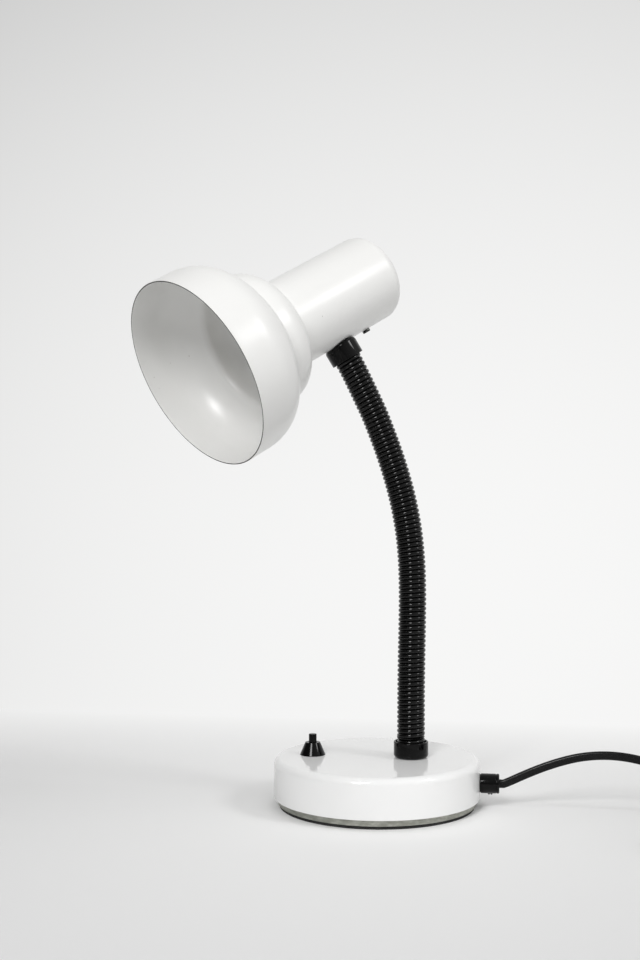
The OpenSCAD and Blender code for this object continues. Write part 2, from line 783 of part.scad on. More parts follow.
module housing() {
  color("white") difference() {
    housing_axis(-housing_front) rotate_extrude($fn = 128) difference() {
      lid_section(housing_r, 0, housing_len, housing_edge);
      lid_section(housing_in_r, -1, housing_len - sheet_t, housing_edge - sheet_t);
      translate([-housing_r, -1]) square([housing_r, housing_len + 2]);
    }
    in_head() translate([0, 0, -housing_r - 1]) cylinder(r = nipple_r + fit, h = 10);
    in_head() translate([0, bracket_screw_y, -housing_r - 1]) cylinder(r = screw_r + 0.1, h = 10);
  }
}

// Half section of the shade's form, offset inwards by t, from the rim back
module shade_section(t) {
  square([rim_r - t, bowl_straight]);
  translate([rim_r - bowl_arc, bowl_straight]) circle(bowl_arc - t);
  square([rim_r - bowl_arc, bowl_straight + bowl_arc - t]);
  square([tier_r - t, tier_z]);
  translate([tier_r - tier_arc, tier_z]) circle(tier_arc - t);
  square([tier_r - tier_arc, tier_z + tier_arc - t]);
}

module shade() {
  color("white") housing_axis(rim_y) rotate_extrude($fn = 160) difference() {
    intersection() {
      shade_section(0);
      square([rim_r + 1, shade_len]);
    }
    intersection() {
      shade_section(sheet_t);
      translate([0, -1]) square([rim_r + 1, shade_len - sheet_t + 1]);
    }
    translate([-1, -1]) square([rim_r - sheet_t + 1, 1 + eps]);
    translate([-1, -1]) square([holder_r + fit + 1, shade_len + 2]);
  }
}

// ---- Lampholder

module lampholder_body() {
  edge = 0.8;
  flange_r = holder_r + holder_flange;
  color("ivory") housing_axis(0) difference() {
    rotate_extrude() polygon([
      [0, holder_front], [holder_r - edge, holder_front], [holder_r, holder_front + edge],
      [holder_r, -housing_front], [flange_r, -housing_front], [flange_r, 2.5 - housing_front],
      [holder_r, 3.5 - housing_front], [holder_r, -14], [holder_back_r, -8],
      [holder_back_r, holder_back], [0, holder_back]]);
    translate([0, 0, holder_front - 1])
      cylinder(r = shell_bore_r + shell_t + fit, h = contact_y - holder_front + 1);
    for (s = [-1, 1]) translate([s * holder_screw_x, 0, holder_back - 8])
      cylinder(r = screw_r + thread_gap, h = 9);
    translate([0, 0, contact_y - 1]) cylinder(r = screw_r + thread_gap, h = 6);
  }
}

module lampholder_shell() {
  color("gold") housing_axis(holder_front + shell_in) {
    tube(shell_bore_r + shell_t, shell_bore_r, shell_len);
    translate([0, 0, shell_len - shell_t]) tube(shell_bore_r + shell_t, 9, shell_t);
  }
}

// Centre contact: a spring tongue with a button, on a rivet
module lampholder_contact() {
  tongue_t = 0.6;
  color("gold") housing_axis(contact_y) {
    translate([-5, -2.5, -tongue_t]) cube([10, 5, tongue_t]);
    translate([0, 0, -contact_drop + 0.1]) difference() {
      cylinder(r = 2.5, h = contact_drop - tongue_t);
      translate([0, 0, 1]) cylinder(r = 1.7, h = contact_drop);
    }
    translate([0, 0, -eps]) cylinder(r = screw_r, h = 4);
  }
}

module lampholder_terminals() {
  size = terminal_size;
  color("gold") in_head() for (s = [-1, 1])
    translate([s * terminal_x, wire_hole_y, 0]) difference() {
      cube(size, center = true);
      translate([0, 0, -size[2]]) cylinder(r = core_r + 0.1, h = size[2] + 0.5);
      translate([0, 0, 1.5]) cylinder(r = 1.2, h = size[2]);
    }
}

// Knurled ring that holds the shade against the housing
module shade_ring() {
  front = holder_front + 0.4;
  h = -housing_front - sheet_t - fit - front;
  color("ivory") housing_axis(front) difference() {
    cylinder(r = ring_edge_r, h = h);
    translate([0, 0, -1]) cylinder(r = holder_r + fit, h = h + 2);
    for (a = [0:30:330]) rotate([0, 0, a]) translate([ring_edge_r + 0.2, 0, -1])
      cylinder(r = 0.8, h = h + 2, $fn = 24);
  }
}

// ---- Bracket that joins the lampholder to the housing

module holder_bracket() {
  color("silver") in_head() difference() {
    translate([-bracket_w / 2, bracket_y, bracket_foot_z]) {
      cube([bracket_w, bracket_len, bracket_t]);
      cube([bracket_w, bracket_t, bracket_up - bracket_foot_z]);
    }
    translate([0, bracket_screw_y, -housing_r]) cylinder(r = screw_r + thread_gap, h = housing_r);
    for (s = [-1, 1]) translate([s * holder_screw_x, bracket_y - 1, 0]) rotate([-90, 0, 0])
      cylinder(r = screw_r + 0.1, h = bracket_t + 2);
  }
}

module holder_screws() {
  color("silver") in_head() for (s = [-1, 1])
    translate([s * holder_screw_x, bracket_y + bracket_t, 0]) rotate([-90, 0, 0])
      pan_screw(holder_screw_len, head_h = 1.4);
}

// Outside screw of the bracket, its head clear of the curved housing
module bracket_screw() {
  head_z = -housing_r - 0.1;
  color("dimgray") in_head() translate([0, bracket_screw_y, head_z]) rotate([180, 0, 0])
    pan_screw(bracket_foot_z + bracket_t + 0.6 - head_z);
}

module head_wires() {
  top = nipple_end;
  color("saddlebrown") in_head() for (s = [-1, 1])
    bar_along([[s * 1.6, 0, top + 0.2], [s * 2.6, 0.6, top + 1.8], [s * 5, 2, top + 3.2],
      [s * 8.4, 5, top + 4], [s * 10.8, 9.4, top + 6], [s * 11.4, 12.6, -10],
      [s * terminal_x, wire_hole_y, -terminal_size[2] / 2 - 0.2]], core_r, 8, [1, 0, 0.2]);
}

// ---- Mains cord behind the base

module mains_cord() {
  color("black") bar_along(lead_route, cord_r, 8);
}

module cord_coil() {
  e = coil_edge;
  w = coil_out_r - coil_in_r;
  color("black") translate([coil_at[0], coil_at[1], 0]) rotate_extrude($fn = 96)
    translate([coil_in_r, 0]) {
      translate([e, 0]) square([w - 2 * e, coil_h]);
      translate([0, e]) square([w, coil_h - 2 * e]);
      for (x = [e, w - e], z = [e, coil_h - e]) translate([x, z]) circle(e, $fn = 24);
    }
}

module cord_tail() {
  color("black") bar_along(tail_route, cord_r, 8);
}

// Flat plate of the plug's section at a distance behind its face
module plug_slice(back, w, h) {
  translate([plug_at[0], plug_face + back, plug_at[2]]) cube([w, 1, h], center = true);
}

module pin_places(back) {
  for (s = [-1, 1]) translate([plug_at[0] + s * pin_gap / 2, plug_face + back, plug_at[2]])
    rotate([90, 0, 0]) children();
}

module plug_body() {
  thick = 2 * plug_at[2];
  color("black") difference() {
    union() {
      hull() {
        plug_slice(0.5, plug_w, thick);
        plug_slice(plug_len - 12, plug_w - 1, thick);
        plug_slice(plug_len - 0.5, plug_w * 0.42, thick * 0.66);
      }
      along_y(plug_face + plug_len - eps, plug_at[2]) translate([plug_at[0], 0, 0])
        cylinder(r1 = 4.5, r2 = cord_r + 0.6, h = plug_neck + eps);
    }
    pin_places(pin_root) cylinder(r = pin_root_r + fit, h = 2 * pin_root);
  }
}

// Two pins, each with a thicker root that is moulded into the body
module plug_pins() {
  straight = pin_len - pin_tip;
  color("silver") {
    pin_places(pin_root) cylinder(r = pin_root_r, h = pin_root);
    pin_places(eps) {
      cylinder(r = pin_r, h = straight + eps);
      translate([0, 0, straight]) cylinder(r1 = pin_r, r2 = pin_r - 0.8, h = pin_tip + eps);
    }
  }
}

base_cover();
base_plate();
foot_pad();
ballast_weight();
plate_screws();
neck_cup_lower();
neck_nipple_lower();
neck_washer_lower();
neck_nut_lower();
switch_body();
switch_ring();
switch_button();
switch_spring();
switch_terminals();
cord_gland();
gland_nut();
gland_screw();
cord_clamp();
clamp_screws();
terminal_block();
terminal_screws();
base_wires();
cord_inner();
neck_link(0);  // neck_link_00
neck_link(1);  // neck_link_01
neck_link(2);  // neck_link_02
neck_link(3);  // neck_link_03
neck_link(4);  // neck_link_04
neck_link(5);  // neck_link_05
neck_link(6);  // neck_link_06
neck_link(7);  // neck_link_07
neck_link(8);  // neck_link_08
neck_link(9);  // neck_link_09
neck_link(10);  // neck_link_10
neck_link(11);  // neck_link_11
neck_link(12);  // neck_link_12
neck_cup_upper();
neck_nipple_upper();
saddle_washer();
neck_washer_upper();
neck_nut_upper();
housing();
shade();
shade_ring();
lampholder_body();
lampholder_shell();
lampholder_contact();
lampholder_terminals();
holder_bracket();
holder_screws();
bracket_screw();
head_wires();
mains_cord();
cord_coil();
cord_tail();
plug_body();
plug_pins();
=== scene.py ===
"""Gooseneck desk lamp: the finished surfaces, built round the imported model.

Sizes are in millimetres and are made metres where a piece gets its mesh. The front of the
lamp, with its switch, is towards -Y and the cord leaves the base towards +Y.
"""

import json
import math

import bmesh
import bpy
from mathutils import Matrix, Vector


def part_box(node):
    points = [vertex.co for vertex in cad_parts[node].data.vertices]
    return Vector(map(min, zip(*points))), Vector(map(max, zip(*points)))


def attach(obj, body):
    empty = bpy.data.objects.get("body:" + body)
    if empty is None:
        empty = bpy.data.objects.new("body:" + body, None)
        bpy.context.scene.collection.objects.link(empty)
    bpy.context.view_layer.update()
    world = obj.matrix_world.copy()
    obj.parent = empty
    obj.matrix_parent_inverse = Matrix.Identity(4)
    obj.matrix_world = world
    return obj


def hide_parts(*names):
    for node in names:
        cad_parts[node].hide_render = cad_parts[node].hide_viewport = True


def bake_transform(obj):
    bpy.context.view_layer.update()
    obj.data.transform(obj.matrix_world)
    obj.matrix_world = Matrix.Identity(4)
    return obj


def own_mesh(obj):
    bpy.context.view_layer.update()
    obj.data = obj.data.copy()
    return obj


MM = 0.001
UP = Vector((0, 0, 1))

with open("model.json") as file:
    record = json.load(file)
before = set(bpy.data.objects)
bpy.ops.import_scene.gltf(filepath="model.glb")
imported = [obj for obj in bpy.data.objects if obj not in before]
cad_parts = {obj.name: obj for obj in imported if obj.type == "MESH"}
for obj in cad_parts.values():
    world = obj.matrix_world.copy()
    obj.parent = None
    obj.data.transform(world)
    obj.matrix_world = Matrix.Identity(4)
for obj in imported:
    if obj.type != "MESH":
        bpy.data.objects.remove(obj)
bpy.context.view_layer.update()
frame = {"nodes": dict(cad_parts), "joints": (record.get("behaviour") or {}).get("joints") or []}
joints = {joint["name"]: joint for joint in frame["joints"]}


def node_box(node):
    """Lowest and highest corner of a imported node, in millimetres."""
    low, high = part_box(node)
    return low / MM, high / MM


# ---- Sizes read from the frame

base_low, base_high = node_box("base_cover")
base_r = (base_high.x - base_low.x) / 2
base_top = base_high.z
cup_low, cup_high = node_box("neck_cup_lower")
ring_low, ring_high = node_box("switch_ring")
button_low, button_high = node_box("switch_button")
gland_low, gland_high = node_box("cord_gland")
neck_at = (cup_low + cup_high) / 2
switch_at = (ring_low + ring_high) / 2
neck_end = Vector(joints["head_swivel"]["pos_m"]) / MM
neck_dir = Vector(joints["head_swivel"]["axis"]).normalized()

# ---- Sizes of the finished pieces

COVER_SHEET = 1.2
COVER_EDGE = 4.5
PILLAR_R = 3.5
PILLAR_BORE_R = 1.6
PILLAR_AT_R = 58.3
PILLAR_ANGLES = (30, 150, 270)
PLATE_TOP = 7.0

RING_BORE_R = 2.6
RING_TOP_R = 4.7
BUTTON_R = 2.5
BUTTON_FOOT_R = 3.6
BUTTON_FOOT_H = 1.5
SPRING_WIRE = 0.3
SPRING_TURNS = 5

GLAND_BORE_R = 2.75
GLAND_SPIGOT_R = 5.0
SLOT_W = 0.6
SLOT_DEPTH = 0.7
GRUB_R = 1.5
GRUB_LEN = 3.9

CUP_R = 10.9
CUP_WALL = 1.1
CUP_FLOOR = 3.0
CUP_LIP_EDGE = 0.45
CUP_FOOT_EDGE = 2.3
COLLAR_SKIRT = 7.6
SADDLE_RISE = 4.0
SADDLE_SINK = 0.02
TUBE_R = 5.05

RIB_R = 8.85
RIB_STEPS = 9
GROOVE_R = 7.5
NECK_BORE_R = 4.5
NECK_JOINTS = 12
NECK_END_GAP = 0.2
LINK_TURNS = 7
NECK_STEPS = 60

SHEET = 0.9
RIM_R = 60.4
BOWL_STRAIGHT = 17.5
BOWL_ARC = 27.7
FOLD_R = 2.4
INNER_FOLD_R = 6.0
TIER_R = 43.4
TIER_Z = 48.8
TIER_ARC = 16.0
HOUSING_R = 28.3
HOUSING_LEN = 89.4
HOUSING_EDGE = 7.7
HOUSING_FRONT = 37.2
RIM_EDGE_Z = 0.16
HEAD_TURN = 43.0
SCREW_Y = 24.0

FIT = 0.05
HOLDER_R = 18.5
HOLDER_OUT = 4.2
HOLDER_BACK = 10.6
HOLDER_BACK_R = 14.6
RING_IN = 0.4
RING_W = 3.2
KNURLS = 36
KNURL_DEPTH = 0.28
SHELL_R = 13.2
SHELL_LEN = 20.0
SHELL_IN = 1.5
SHELL_STEPS = 72

CORD_W = 5.4
CORD_T = 3.0
CORD_WAIST = 0.86
CORD_GAP = 3.0

WELD = 0.0005
SCREW_WELD = 0.002


# ---- Shapes

def arc(centre_r, centre_z, radius, start, end, steps):
    """Points of an arc in a half section. Angles in degrees, from +r towards +z."""
    turns = [math.radians(start + (end - start) * i / steps) for i in range(steps + 1)]
    return [(centre_r + radius * math.cos(a), centre_z + radius * math.sin(a)) for a in turns]


def rounded(corners, steps=6, closed=True):
    """A half section with its corners rounded. A corner is (r, z) or (r, z, radius)."""
    points = []
    count = len(corners)
    for i, corner in enumerate(corners):
        at = Vector(corner[:2])
        radius = corner[2] if len(corner) > 2 else 0
        if not radius or (not closed and i in (0, count - 1)):
            points.append(tuple(at))
            continue
        before = (Vector(corners[i - 1][:2]) - at).normalized()
        after = (Vector(corners[(i + 1) % count][:2]) - at).normalized()
        half = before.angle(after) / 2
        centre = at + (before + after).normalized() * radius / math.sin(half)
        first = at + before * radius / math.tan(half) - centre
        last = at + after * radius / math.tan(half) - centre
        for k in range(steps + 1):
            points.append(tuple(centre + first.slerp(last, k / steps) * radius))
    return points


def spun(outline, steps=96, closed=True):
    """A solid of revolution about Z. A closed outline is a ring; an open one ends on the axis."""
    bm = bmesh.new()
    verts = [bm.verts.new((r, 0, z)) for r, z in outline]
    edges = [bm.edges.new(pair) for pair in zip(verts, verts[1:])]
    if closed:
        edges.append(bm.edges.new((verts[-1], verts[0])))
    bmesh.ops.spin(bm, geom=verts + edges, cent=(0, 0, 0), axis=(0, 0, 1), dvec=(0, 0, 0),
                   angle=math.tau, steps=steps, use_merge=True, use_duplicate=False)
    bmesh.ops.remove_doubles(bm, verts=bm.verts, dist=WELD)
    bmesh.ops.recalc_face_normals(bm, faces=bm.faces)
    return bm


def joined(*parts):
    """One bmesh of several. Each part is a bmesh, which is used up."""
    whole = bmesh.new()
    for part in parts:
        mesh = bpy.data.meshes.new("part")
        part.to_mesh(mesh)
        part.free()
        whole.from_mesh(mesh)
        bpy.data.meshes.remove(mesh)
    return whole


def moved(bm, matrix):
    bmesh.ops.transform(bm, matrix=matrix, verts=bm.verts)
    return bm


def at(x, y, z):
    return Matrix.Translation((x, y, z))


def turned(degrees, axis):
    return Matrix.Rotation(math.radians(degrees), 4, axis)


def cut_slot(bm, top):
    """A screwdriver slot along X in the top of a head."""
    lean = 0.02
    for side in (-1, 1):
        for y in (SLOT_W / 2, SLOT_W / 2 + lean):
            bmesh.ops.bisect_plane(bm, geom=bm.verts[:] + bm.edges[:] + bm.faces[:],
                                   plane_co=(0, side * y, 0), plane_no=(0, 1, 0))
    for v in bm.verts:
        if abs(v.co.y) < SLOT_W / 2 + lean / 2 and v.co.z > top - SLOT_DEPTH:
            v.co.z = top - SLOT_DEPTH
    return bm


def piece(name, bm, finish, body, nodes=(), place=Matrix(), sharp=40):
    """A finished object from a bmesh in millimetres, riding on a body."""
    mesh = bpy.data.meshes.new(name)
    moved(bm, Matrix.Scale(MM, 4) @ place)
    bm.to_mesh(mesh)
    bm.free()
    mesh.shade_smooth()
    mesh.set_sharp_from_angle(angle=math.radians(sharp))
    mesh.materials.append(finish)
    obj = bpy.data.objects.new(name, mesh)
    bpy.context.scene.collection.objects.link(obj)
    if body:
        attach(obj, body)
    if nodes:
        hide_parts(*nodes)
    return obj


# ---- Finishes

def new_finish(name, colour, roughness, metallic=0.0):
    material = bpy.data.materials.new(name)
    material.use_nodes = True
    tree = material.node_tree
    shader = tree.nodes["Principled BSDF"]
    shader.inputs["Base Color"].default_value = (*colour, 1)
    shader.inputs["Roughness"].default_value = roughness
    shader.inputs["Metallic"].default_value = metallic
    return material, tree, shader


def grain(tree, size, detail=2.0, stretch=(1, 1, 1)):
    """A noise of about this size in millimetres, on the object's own coordinates."""
    coordinates = tree.nodes.new("ShaderNodeTexCoord")
    mapping = tree.nodes.new("ShaderNodeMapping")
    mapping.inputs["Scale"].default_value = stretch
    noise = tree.nodes.new("ShaderNodeTexNoise")
    noise.inputs["Scale"].default_value = 1 / (size * MM)
    noise.inputs["Detail"].default_value = detail
    tree.links.new(coordinates.outputs["Object"], mapping.inputs["Vector"])
    tree.links.new(mapping.outputs["Vector"], noise.inputs["Vector"])
    return noise.outputs["Fac"]


def spread(tree, value, low, high, out_low, out_high):
    """The value's stretch from low to high, mapped to another stretch."""
    node = tree.nodes.new("ShaderNodeMapRange")
    for socket, number in zip(("From Min", "From Max", "To Min", "To Max"),
                              (low, high, out_low, out_high)):
        node.inputs[socket].default_value = number
    tree.links.new(value, node.inputs["Value"])
    return node.outputs["Result"]


def blend_colours(tree, share, first, second):
    node = tree.nodes.new("ShaderNodeMix")
    node.data_type = "RGBA"
    for socket, colour in (("A", first), ("B", second)):
        target = [s for s in node.inputs if s.name == socket and s.type == "RGBA"][0]
        if isinstance(colour, tuple):
            target.default_value = (*colour, 1)
        else:
            tree.links.new(colour, target)
    tree.links.new(share, node.inputs["Factor"])
    return [s for s in node.outputs if s.type == "RGBA"][0]


def add_bump(tree, shader, height, depth, strength=1.0):
    node = tree.nodes.new("ShaderNodeBump")
    node.inputs["Distance"].default_value = depth * MM
    node.inputs["Strength"].default_value = strength
    tree.links.new(height, node.inputs["Height"])
    tree.links.new(node.outputs["Normal"], shader.inputs["Normal"])


def specks(tree, spacing, radius):
    """Lone dots: 1 inside a dot and 0 outside. Sizes in millimetres."""
    coordinates = tree.nodes.new("ShaderNodeTexCoord")
    cells = tree.nodes.new("ShaderNodeTexVoronoi")
    cells.inputs["Scale"].default_value = 1 / (spacing * MM)
    tree.links.new(coordinates.outputs["Object"], cells.inputs["Vector"])
    size = radius / spacing
    return spread(tree, cells.outputs["Distance"], size * 0.7, size, 1, 0)


def enamel(name, colour, roughness, peel):
    """Stoved enamel: faint orange peel, slightly uneven gloss and a few dark specks."""
    material, tree, shader = new_finish(name, colour, roughness)
    shade = tuple(c * 0.985 for c in colour)
    body = blend_colours(tree, spread(tree, grain(tree, 60), 0.3, 0.7, 0, 1), colour, shade)
    tree.links.new(blend_colours(tree, specks(tree, 12, 0.3), body, (0.30, 0.28, 0.25)),
                   shader.inputs["Base Color"])
    tree.links.new(spread(tree, grain(tree, 40, 1), 0.2, 0.8, roughness * 0.95, roughness * 1.1),
                   shader.inputs["Roughness"])
    add_bump(tree, shader, grain(tree, 2.6, 0.0), peel)
    return material


def plastic(name, colour, roughness, peel=0.004, size=0.9, shine=0.5):
    """Moulded plastic with fine dust in its gloss."""
    material, tree, shader = new_finish(name, colour, roughness)
    shader.inputs["Specular IOR Level"].default_value = shine
    dust = spread(tree, grain(tree, 0.5, 2.0), 0.62, 0.8, 0, 1)
    tree.links.new(blend_colours(tree, dust, colour, tuple(c + 0.006 for c in colour)),
                   shader.inputs["Base Color"])
    tree.links.new(spread(tree, grain(tree, 7, 3), 0.3, 0.7, roughness * 0.8, roughness * 1.3),
                   shader.inputs["Roughness"])
    add_bump(tree, shader, grain(tree, size, 1.0), peel)
    return material


def metal(name, colour, roughness, stain, size=6.0, stretch=(1, 1, 1), depth=0.01):
    """Bare or plated metal with stains and fine marks."""
    material, tree, shader = new_finish(name, colour, roughness, metallic=1.0)
    share = spread(tree, grain(tree, size, 4.0, stretch), 0.35, 0.65, 0, 1)
    tree.links.new(blend_colours(tree, share, colour, stain), shader.inputs["Base Color"])
    tree.links.new(spread(tree, grain(tree, size / 3, 3.0, stretch), 0.3, 0.7,
                          roughness * 0.75, roughness * 1.3), shader.inputs["Roughness"])
    add_bump(tree, shader, grain(tree, size / 5, 3.0, stretch), depth)
    return material


# One white enamel in two copies. The base's is glossier, and its lighter colour is painted light
# that makes the base brighter than the head.
BASE_ENAMEL = enamel("base_enamel", (0.89, 0.89, 0.885), 0.1, 0.0006)
HEAD_ENAMEL = enamel("head_enamel", (0.84, 0.838, 0.822), 0.3, 0.0015)
RIM_EDGE = metal("rim_edge", (0.16, 0.155, 0.15), 0.5, (0.08, 0.08, 0.08))
BLACK_PLASTIC = plastic("black_plastic", (0.0015, 0.0015, 0.0015), 0.1, 0.0015, shine=0.2)
BLACK_NECK = plastic("black_neck", (0.0015, 0.0015, 0.0015), 0.12, 0.0015, shine=0.3)
BLACK_CORD = plastic("black_cord", (0.003, 0.003, 0.0033), 0.26, 0.008, 1.4, shine=0.25)
PLUG_BLACK = plastic("plug_black", (0.014, 0.014, 0.015), 0.42, 0.02, 0.6)
FOOT_FOAM = plastic("foot_foam", (0.02, 0.02, 0.02), 0.85, 0.12, 0.5)
STEEL_BAND = metal("steel_band", (0.50, 0.505, 0.46), 0.48, (0.34, 0.345, 0.305), 5, (1, 1, 3))
CAST_IRON = metal("cast_iron", (0.12, 0.115, 0.11), 0.7, (0.07, 0.06, 0.055), 3, depth=0.08)
ZINC = metal("zinc", (0.62, 0.62, 0.60), 0.35, (0.50, 0.50, 0.49), 3)
BLACK_STEEL = metal("black_steel", (0.14, 0.14, 0.13), 0.3, (0.06, 0.06, 0.06), 1.5)
BRASS = metal("brass", (0.72, 0.54, 0.24), 0.28, (0.58, 0.42, 0.18), 4)
CERAMIC = plastic("ceramic", (0.78, 0.76, 0.70), 0.22, 0.01, 1.2)
WHITE_PLASTIC = plastic("white_plastic", (0.74, 0.73, 0.70), 0.35)
BROWN_CORE = plastic("brown_core", (0.16, 0.07, 0.03), 0.4)
BLUE_CORE = plastic("blue_core", (0.05, 0.12, 0.30), 0.4)

CARRIED_OVER = [
    (STEEL_BAND, ["base_plate"]),
    (FOOT_FOAM, ["foot_pad"]),
    (CAST_IRON, ["ballast_weight"]),
    (ZINC, ["plate_screws", "clamp_screws", "terminal_screws", "neck_nipple_lower",
            "neck_washer_lower", "neck_nut_lower", "neck_nipple_upper", "neck_washer_upper",
            "neck_nut_upper", "holder_bracket", "holder_screws"]),
    (BLACK_PLASTIC, ["switch_body", "gland_nut", "saddle_washer"]),
    (WHITE_PLASTIC, ["cord_clamp", "terminal_block"]),
    (BRASS, ["switch_terminals", "lampholder_contact", "lampholder_terminals"]),
    (BROWN_CORE, ["head_wires"]),
    (BLUE_CORE, ["base_wires"]),
    (BLACK_CORD, ["cord_inner"]),
]
for finish, nodes in CARRIED_OVER:
    for node in nodes:
        for material_slot in frame["nodes"][node].material_slots:
            material_slot.material = finish


# ---- Camera

CAMERA_AT = Vector((0.8418, 0.0820, 0.2055))
CAMERA_LOOKS = Vector((-0.9903, -0.1392, 0.0))

camera = bpy.data.objects.new("camera", bpy.data.cameras.new("camera"))
camera.data.lens = 50
camera.data.sensor_width = 36
camera.location = CAMERA_AT
camera.rotation_euler = CAMERA_LOOKS.to_track_quat("-Z", "Y").to_euler()
bpy.context.scene.collection.objects.link(camera)
bpy.context.scene.camera = camera


# ---- Cord

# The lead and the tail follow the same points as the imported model's cord.
LEAD_ROUTE = [(0, 77.6, 15.5), (0, 79.6, 15.5), (0, 84.5, 17.6), (0, 92, 21.2), (0, 103, 26),
              (0, 114, 30), (0, 125, 33), (0, 136, 34.6), (0, 147, 34.8), (0, 158, 33.6),
              (0, 169, 31), (0, 180, 27), (0, 191, 22), (0, 202, 16.6), (0, 213, 11.6),
              (0, 224, 7.6), (0, 234, 4.8), (0, 244, 3.2), (0, 252, 2.8)]
TAIL_ROUTE = [(62.2, 278.6, 8.4), (70.2, 271.6, 7.6), (76.8, 263.8, 6.2), (81.2, 255.6, 5.6),
              (83.4, 248, 6), (84, 242.5, 6.7), (84, 238, 6.8)]
COIL_AT = Vector((36, 252, 0))
COIL_R = 22.8
COIL_STEP = 3.3
COIL_INNER_TURN = 4.0
COIL_CLIMB = 0.4
COIL_TURNS = 8.375
COIL_ROWS = (2.8, 8.4)
COIL_POINTS = 30


def smooth_step(x):
    x = min(1.0, max(0.0, x))
    return x * x * (3 - 2 * x)


def curve_through(points, gap):
    """Points about this far apart on a smooth curve through the given ones."""
    ends = [2 * points[0] - points[1]] + points + [2 * points[-1] - points[-2]]
    found = []
    for a, b, c, d in zip(ends, ends[1:], ends[2:], ends[3:]):
        steps = max(1, round((c - b).length / gap))
        for k in range(steps):
            t = k / steps
            found.append(0.5 * (2 * b + (c - a) * t + (2 * a - 5 * b + 4 * c - d) * t ** 2
                                + (3 * b - a - 3 * c + d) * t ** 3))
    return found + [points[-1]]


def coil_point(turn):
    """The coil winds inwards on the table, climbs at its inner turn and winds out on top."""
    radius = COIL_R + COIL_STEP * abs(turn - COIL_INNER_TURN)
    angle = math.pi - math.tau * turn
    climb = smooth_step((turn - COIL_INNER_TURN + COIL_CLIMB / 2) / COIL_CLIMB)
    height = COIL_ROWS[0] + (COIL_ROWS[1] - COIL_ROWS[0]) * climb
    return COIL_AT + Vector((radius * math.cos(angle), radius * math.sin(angle), height))


def cord_path():
    coil = [coil_point(i / COIL_POINTS) for i in range(1, int(COIL_TURNS * COIL_POINTS))]
    points = [Vector(p) for p in LEAD_ROUTE] + coil + [Vector(p) for p in TAIL_ROUTE[1:]]
    return curve_through(points, CORD_GAP)


def cord_section():
    """Outline of the flat flex: two round cores side by side with a shallow waist."""
    half = CORD_T / 2
    lobe = CORD_W / 2 - half
    right = [(lobe + half * math.cos(a), half * math.sin(a))
             for a in (math.radians(d) for d in range(-100, 101, 25))]
    waist = CORD_WAIST * half
    return right + [(0, waist)] + [(-x, -y) for x, y in right] + [(0, -waist)]


def swept(path, section, across):
    """A closed tube of the section along the path. across is the direction of its width."""
    bm = bmesh.new()
    rings = []
    for i, point in enumerate(path):
        tangent = (path[min(i + 1, len(path) - 1)] - path[max(i - 1, 0)]).normalized()
        side = tangent.cross(across).normalized()
        width = side.cross(tangent)
        rings.append([bm.verts.new(point + width * x + side * y) for x, y in section])
    for ring, following in zip(rings, rings[1:]):
        for k in range(len(section)):
            after = (k + 1) % len(section)
            bm.faces.new((ring[k], ring[after], following[after], following[k]))
    bm.faces.new(reversed(rings[0]))
    bm.faces.new(rings[-1])
    bmesh.ops.recalc_face_normals(bm, faces=bm.faces)
    return bm


PLUG_AT = Vector(TAIL_ROUTE[-1])
PLUG_NECK = 22.0
PLUG_LEN = 34.0
PLUG_W = 26.0
PIN_R = 2.0
PIN_ROOT_R = 2.5
PIN_ROOT = 8.0
PIN_LEN = 19.0
PIN_GAP = 18.6
SLEEVE_RIBS = 5
SLEEVE_RIB_SHARE = 0.72
SLEEVE_R = 4.6
SLEEVE_TAPER = 1.2
SLEEVE_GROOVE = 0.9
plug_face = PLUG_AT.y - PLUG_NECK - PLUG_LEN


def rounded_plate(bm, width, height, radius, y, steps=6):
    """A loop of edges: a rectangle with round corners that stands across Y."""
    loop = []
    for corner, (sx, sz) in enumerate(((1, 1), (-1, 1), (-1, -1), (1, -1))):
        for k in range(steps + 1):
            a = math.radians(90 * corner + 90 * k / steps)
            x = sx * (width / 2 - radius) + radius * math.cos(a)
            z = sz * (height / 2 - radius) + radius * math.sin(a)
            loop.append(bm.verts.new((x, y, z)))
    return [bm.edges.new((a, b)) for a, b in zip(loop, loop[1:] + loop[:1])]


def plug_body():
    """Flat moulded plug with a waist for the fingers and a ribbed sleeve on the cord."""
    bm = bmesh.new()
    thick = 2 * PLUG_AT.z - 0.2
    # Each: distance from the face, width, thickness and radius of the corners
    stations = [(0.0, PLUG_W - 1.2, thick - 1.2, 2.4), (0.6, PLUG_W, thick, 3.0),
                (8.0, PLUG_W, thick, 3.0), (13.0, PLUG_W - 1.6, thick - 1.4, 3.4),
                (20.0, PLUG_W - 3.6, thick - 1.8, 3.8), (26.0, PLUG_W - 7.0, thick - 2.6, 4.0),
                (31.0, PLUG_W * 0.52, thick * 0.74, 3.8), (PLUG_LEN, 9.4, 8.6, 3.6)]
    loops = [rounded_plate(bm, w, h, r, back) for back, w, h, r in stations]
    for first, second in zip(loops, loops[1:]):
        bmesh.ops.bridge_loops(bm, edges=first + second)
    for loop in (loops[0], loops[-1]):
        bmesh.ops.contextual_create(bm, geom=loop)
    bmesh.ops.recalc_face_normals(bm, faces=bm.faces)
    moved(bm, at(PLUG_AT.x, plug_face, PLUG_AT.z))
    return joined(bm, cord_sleeve())


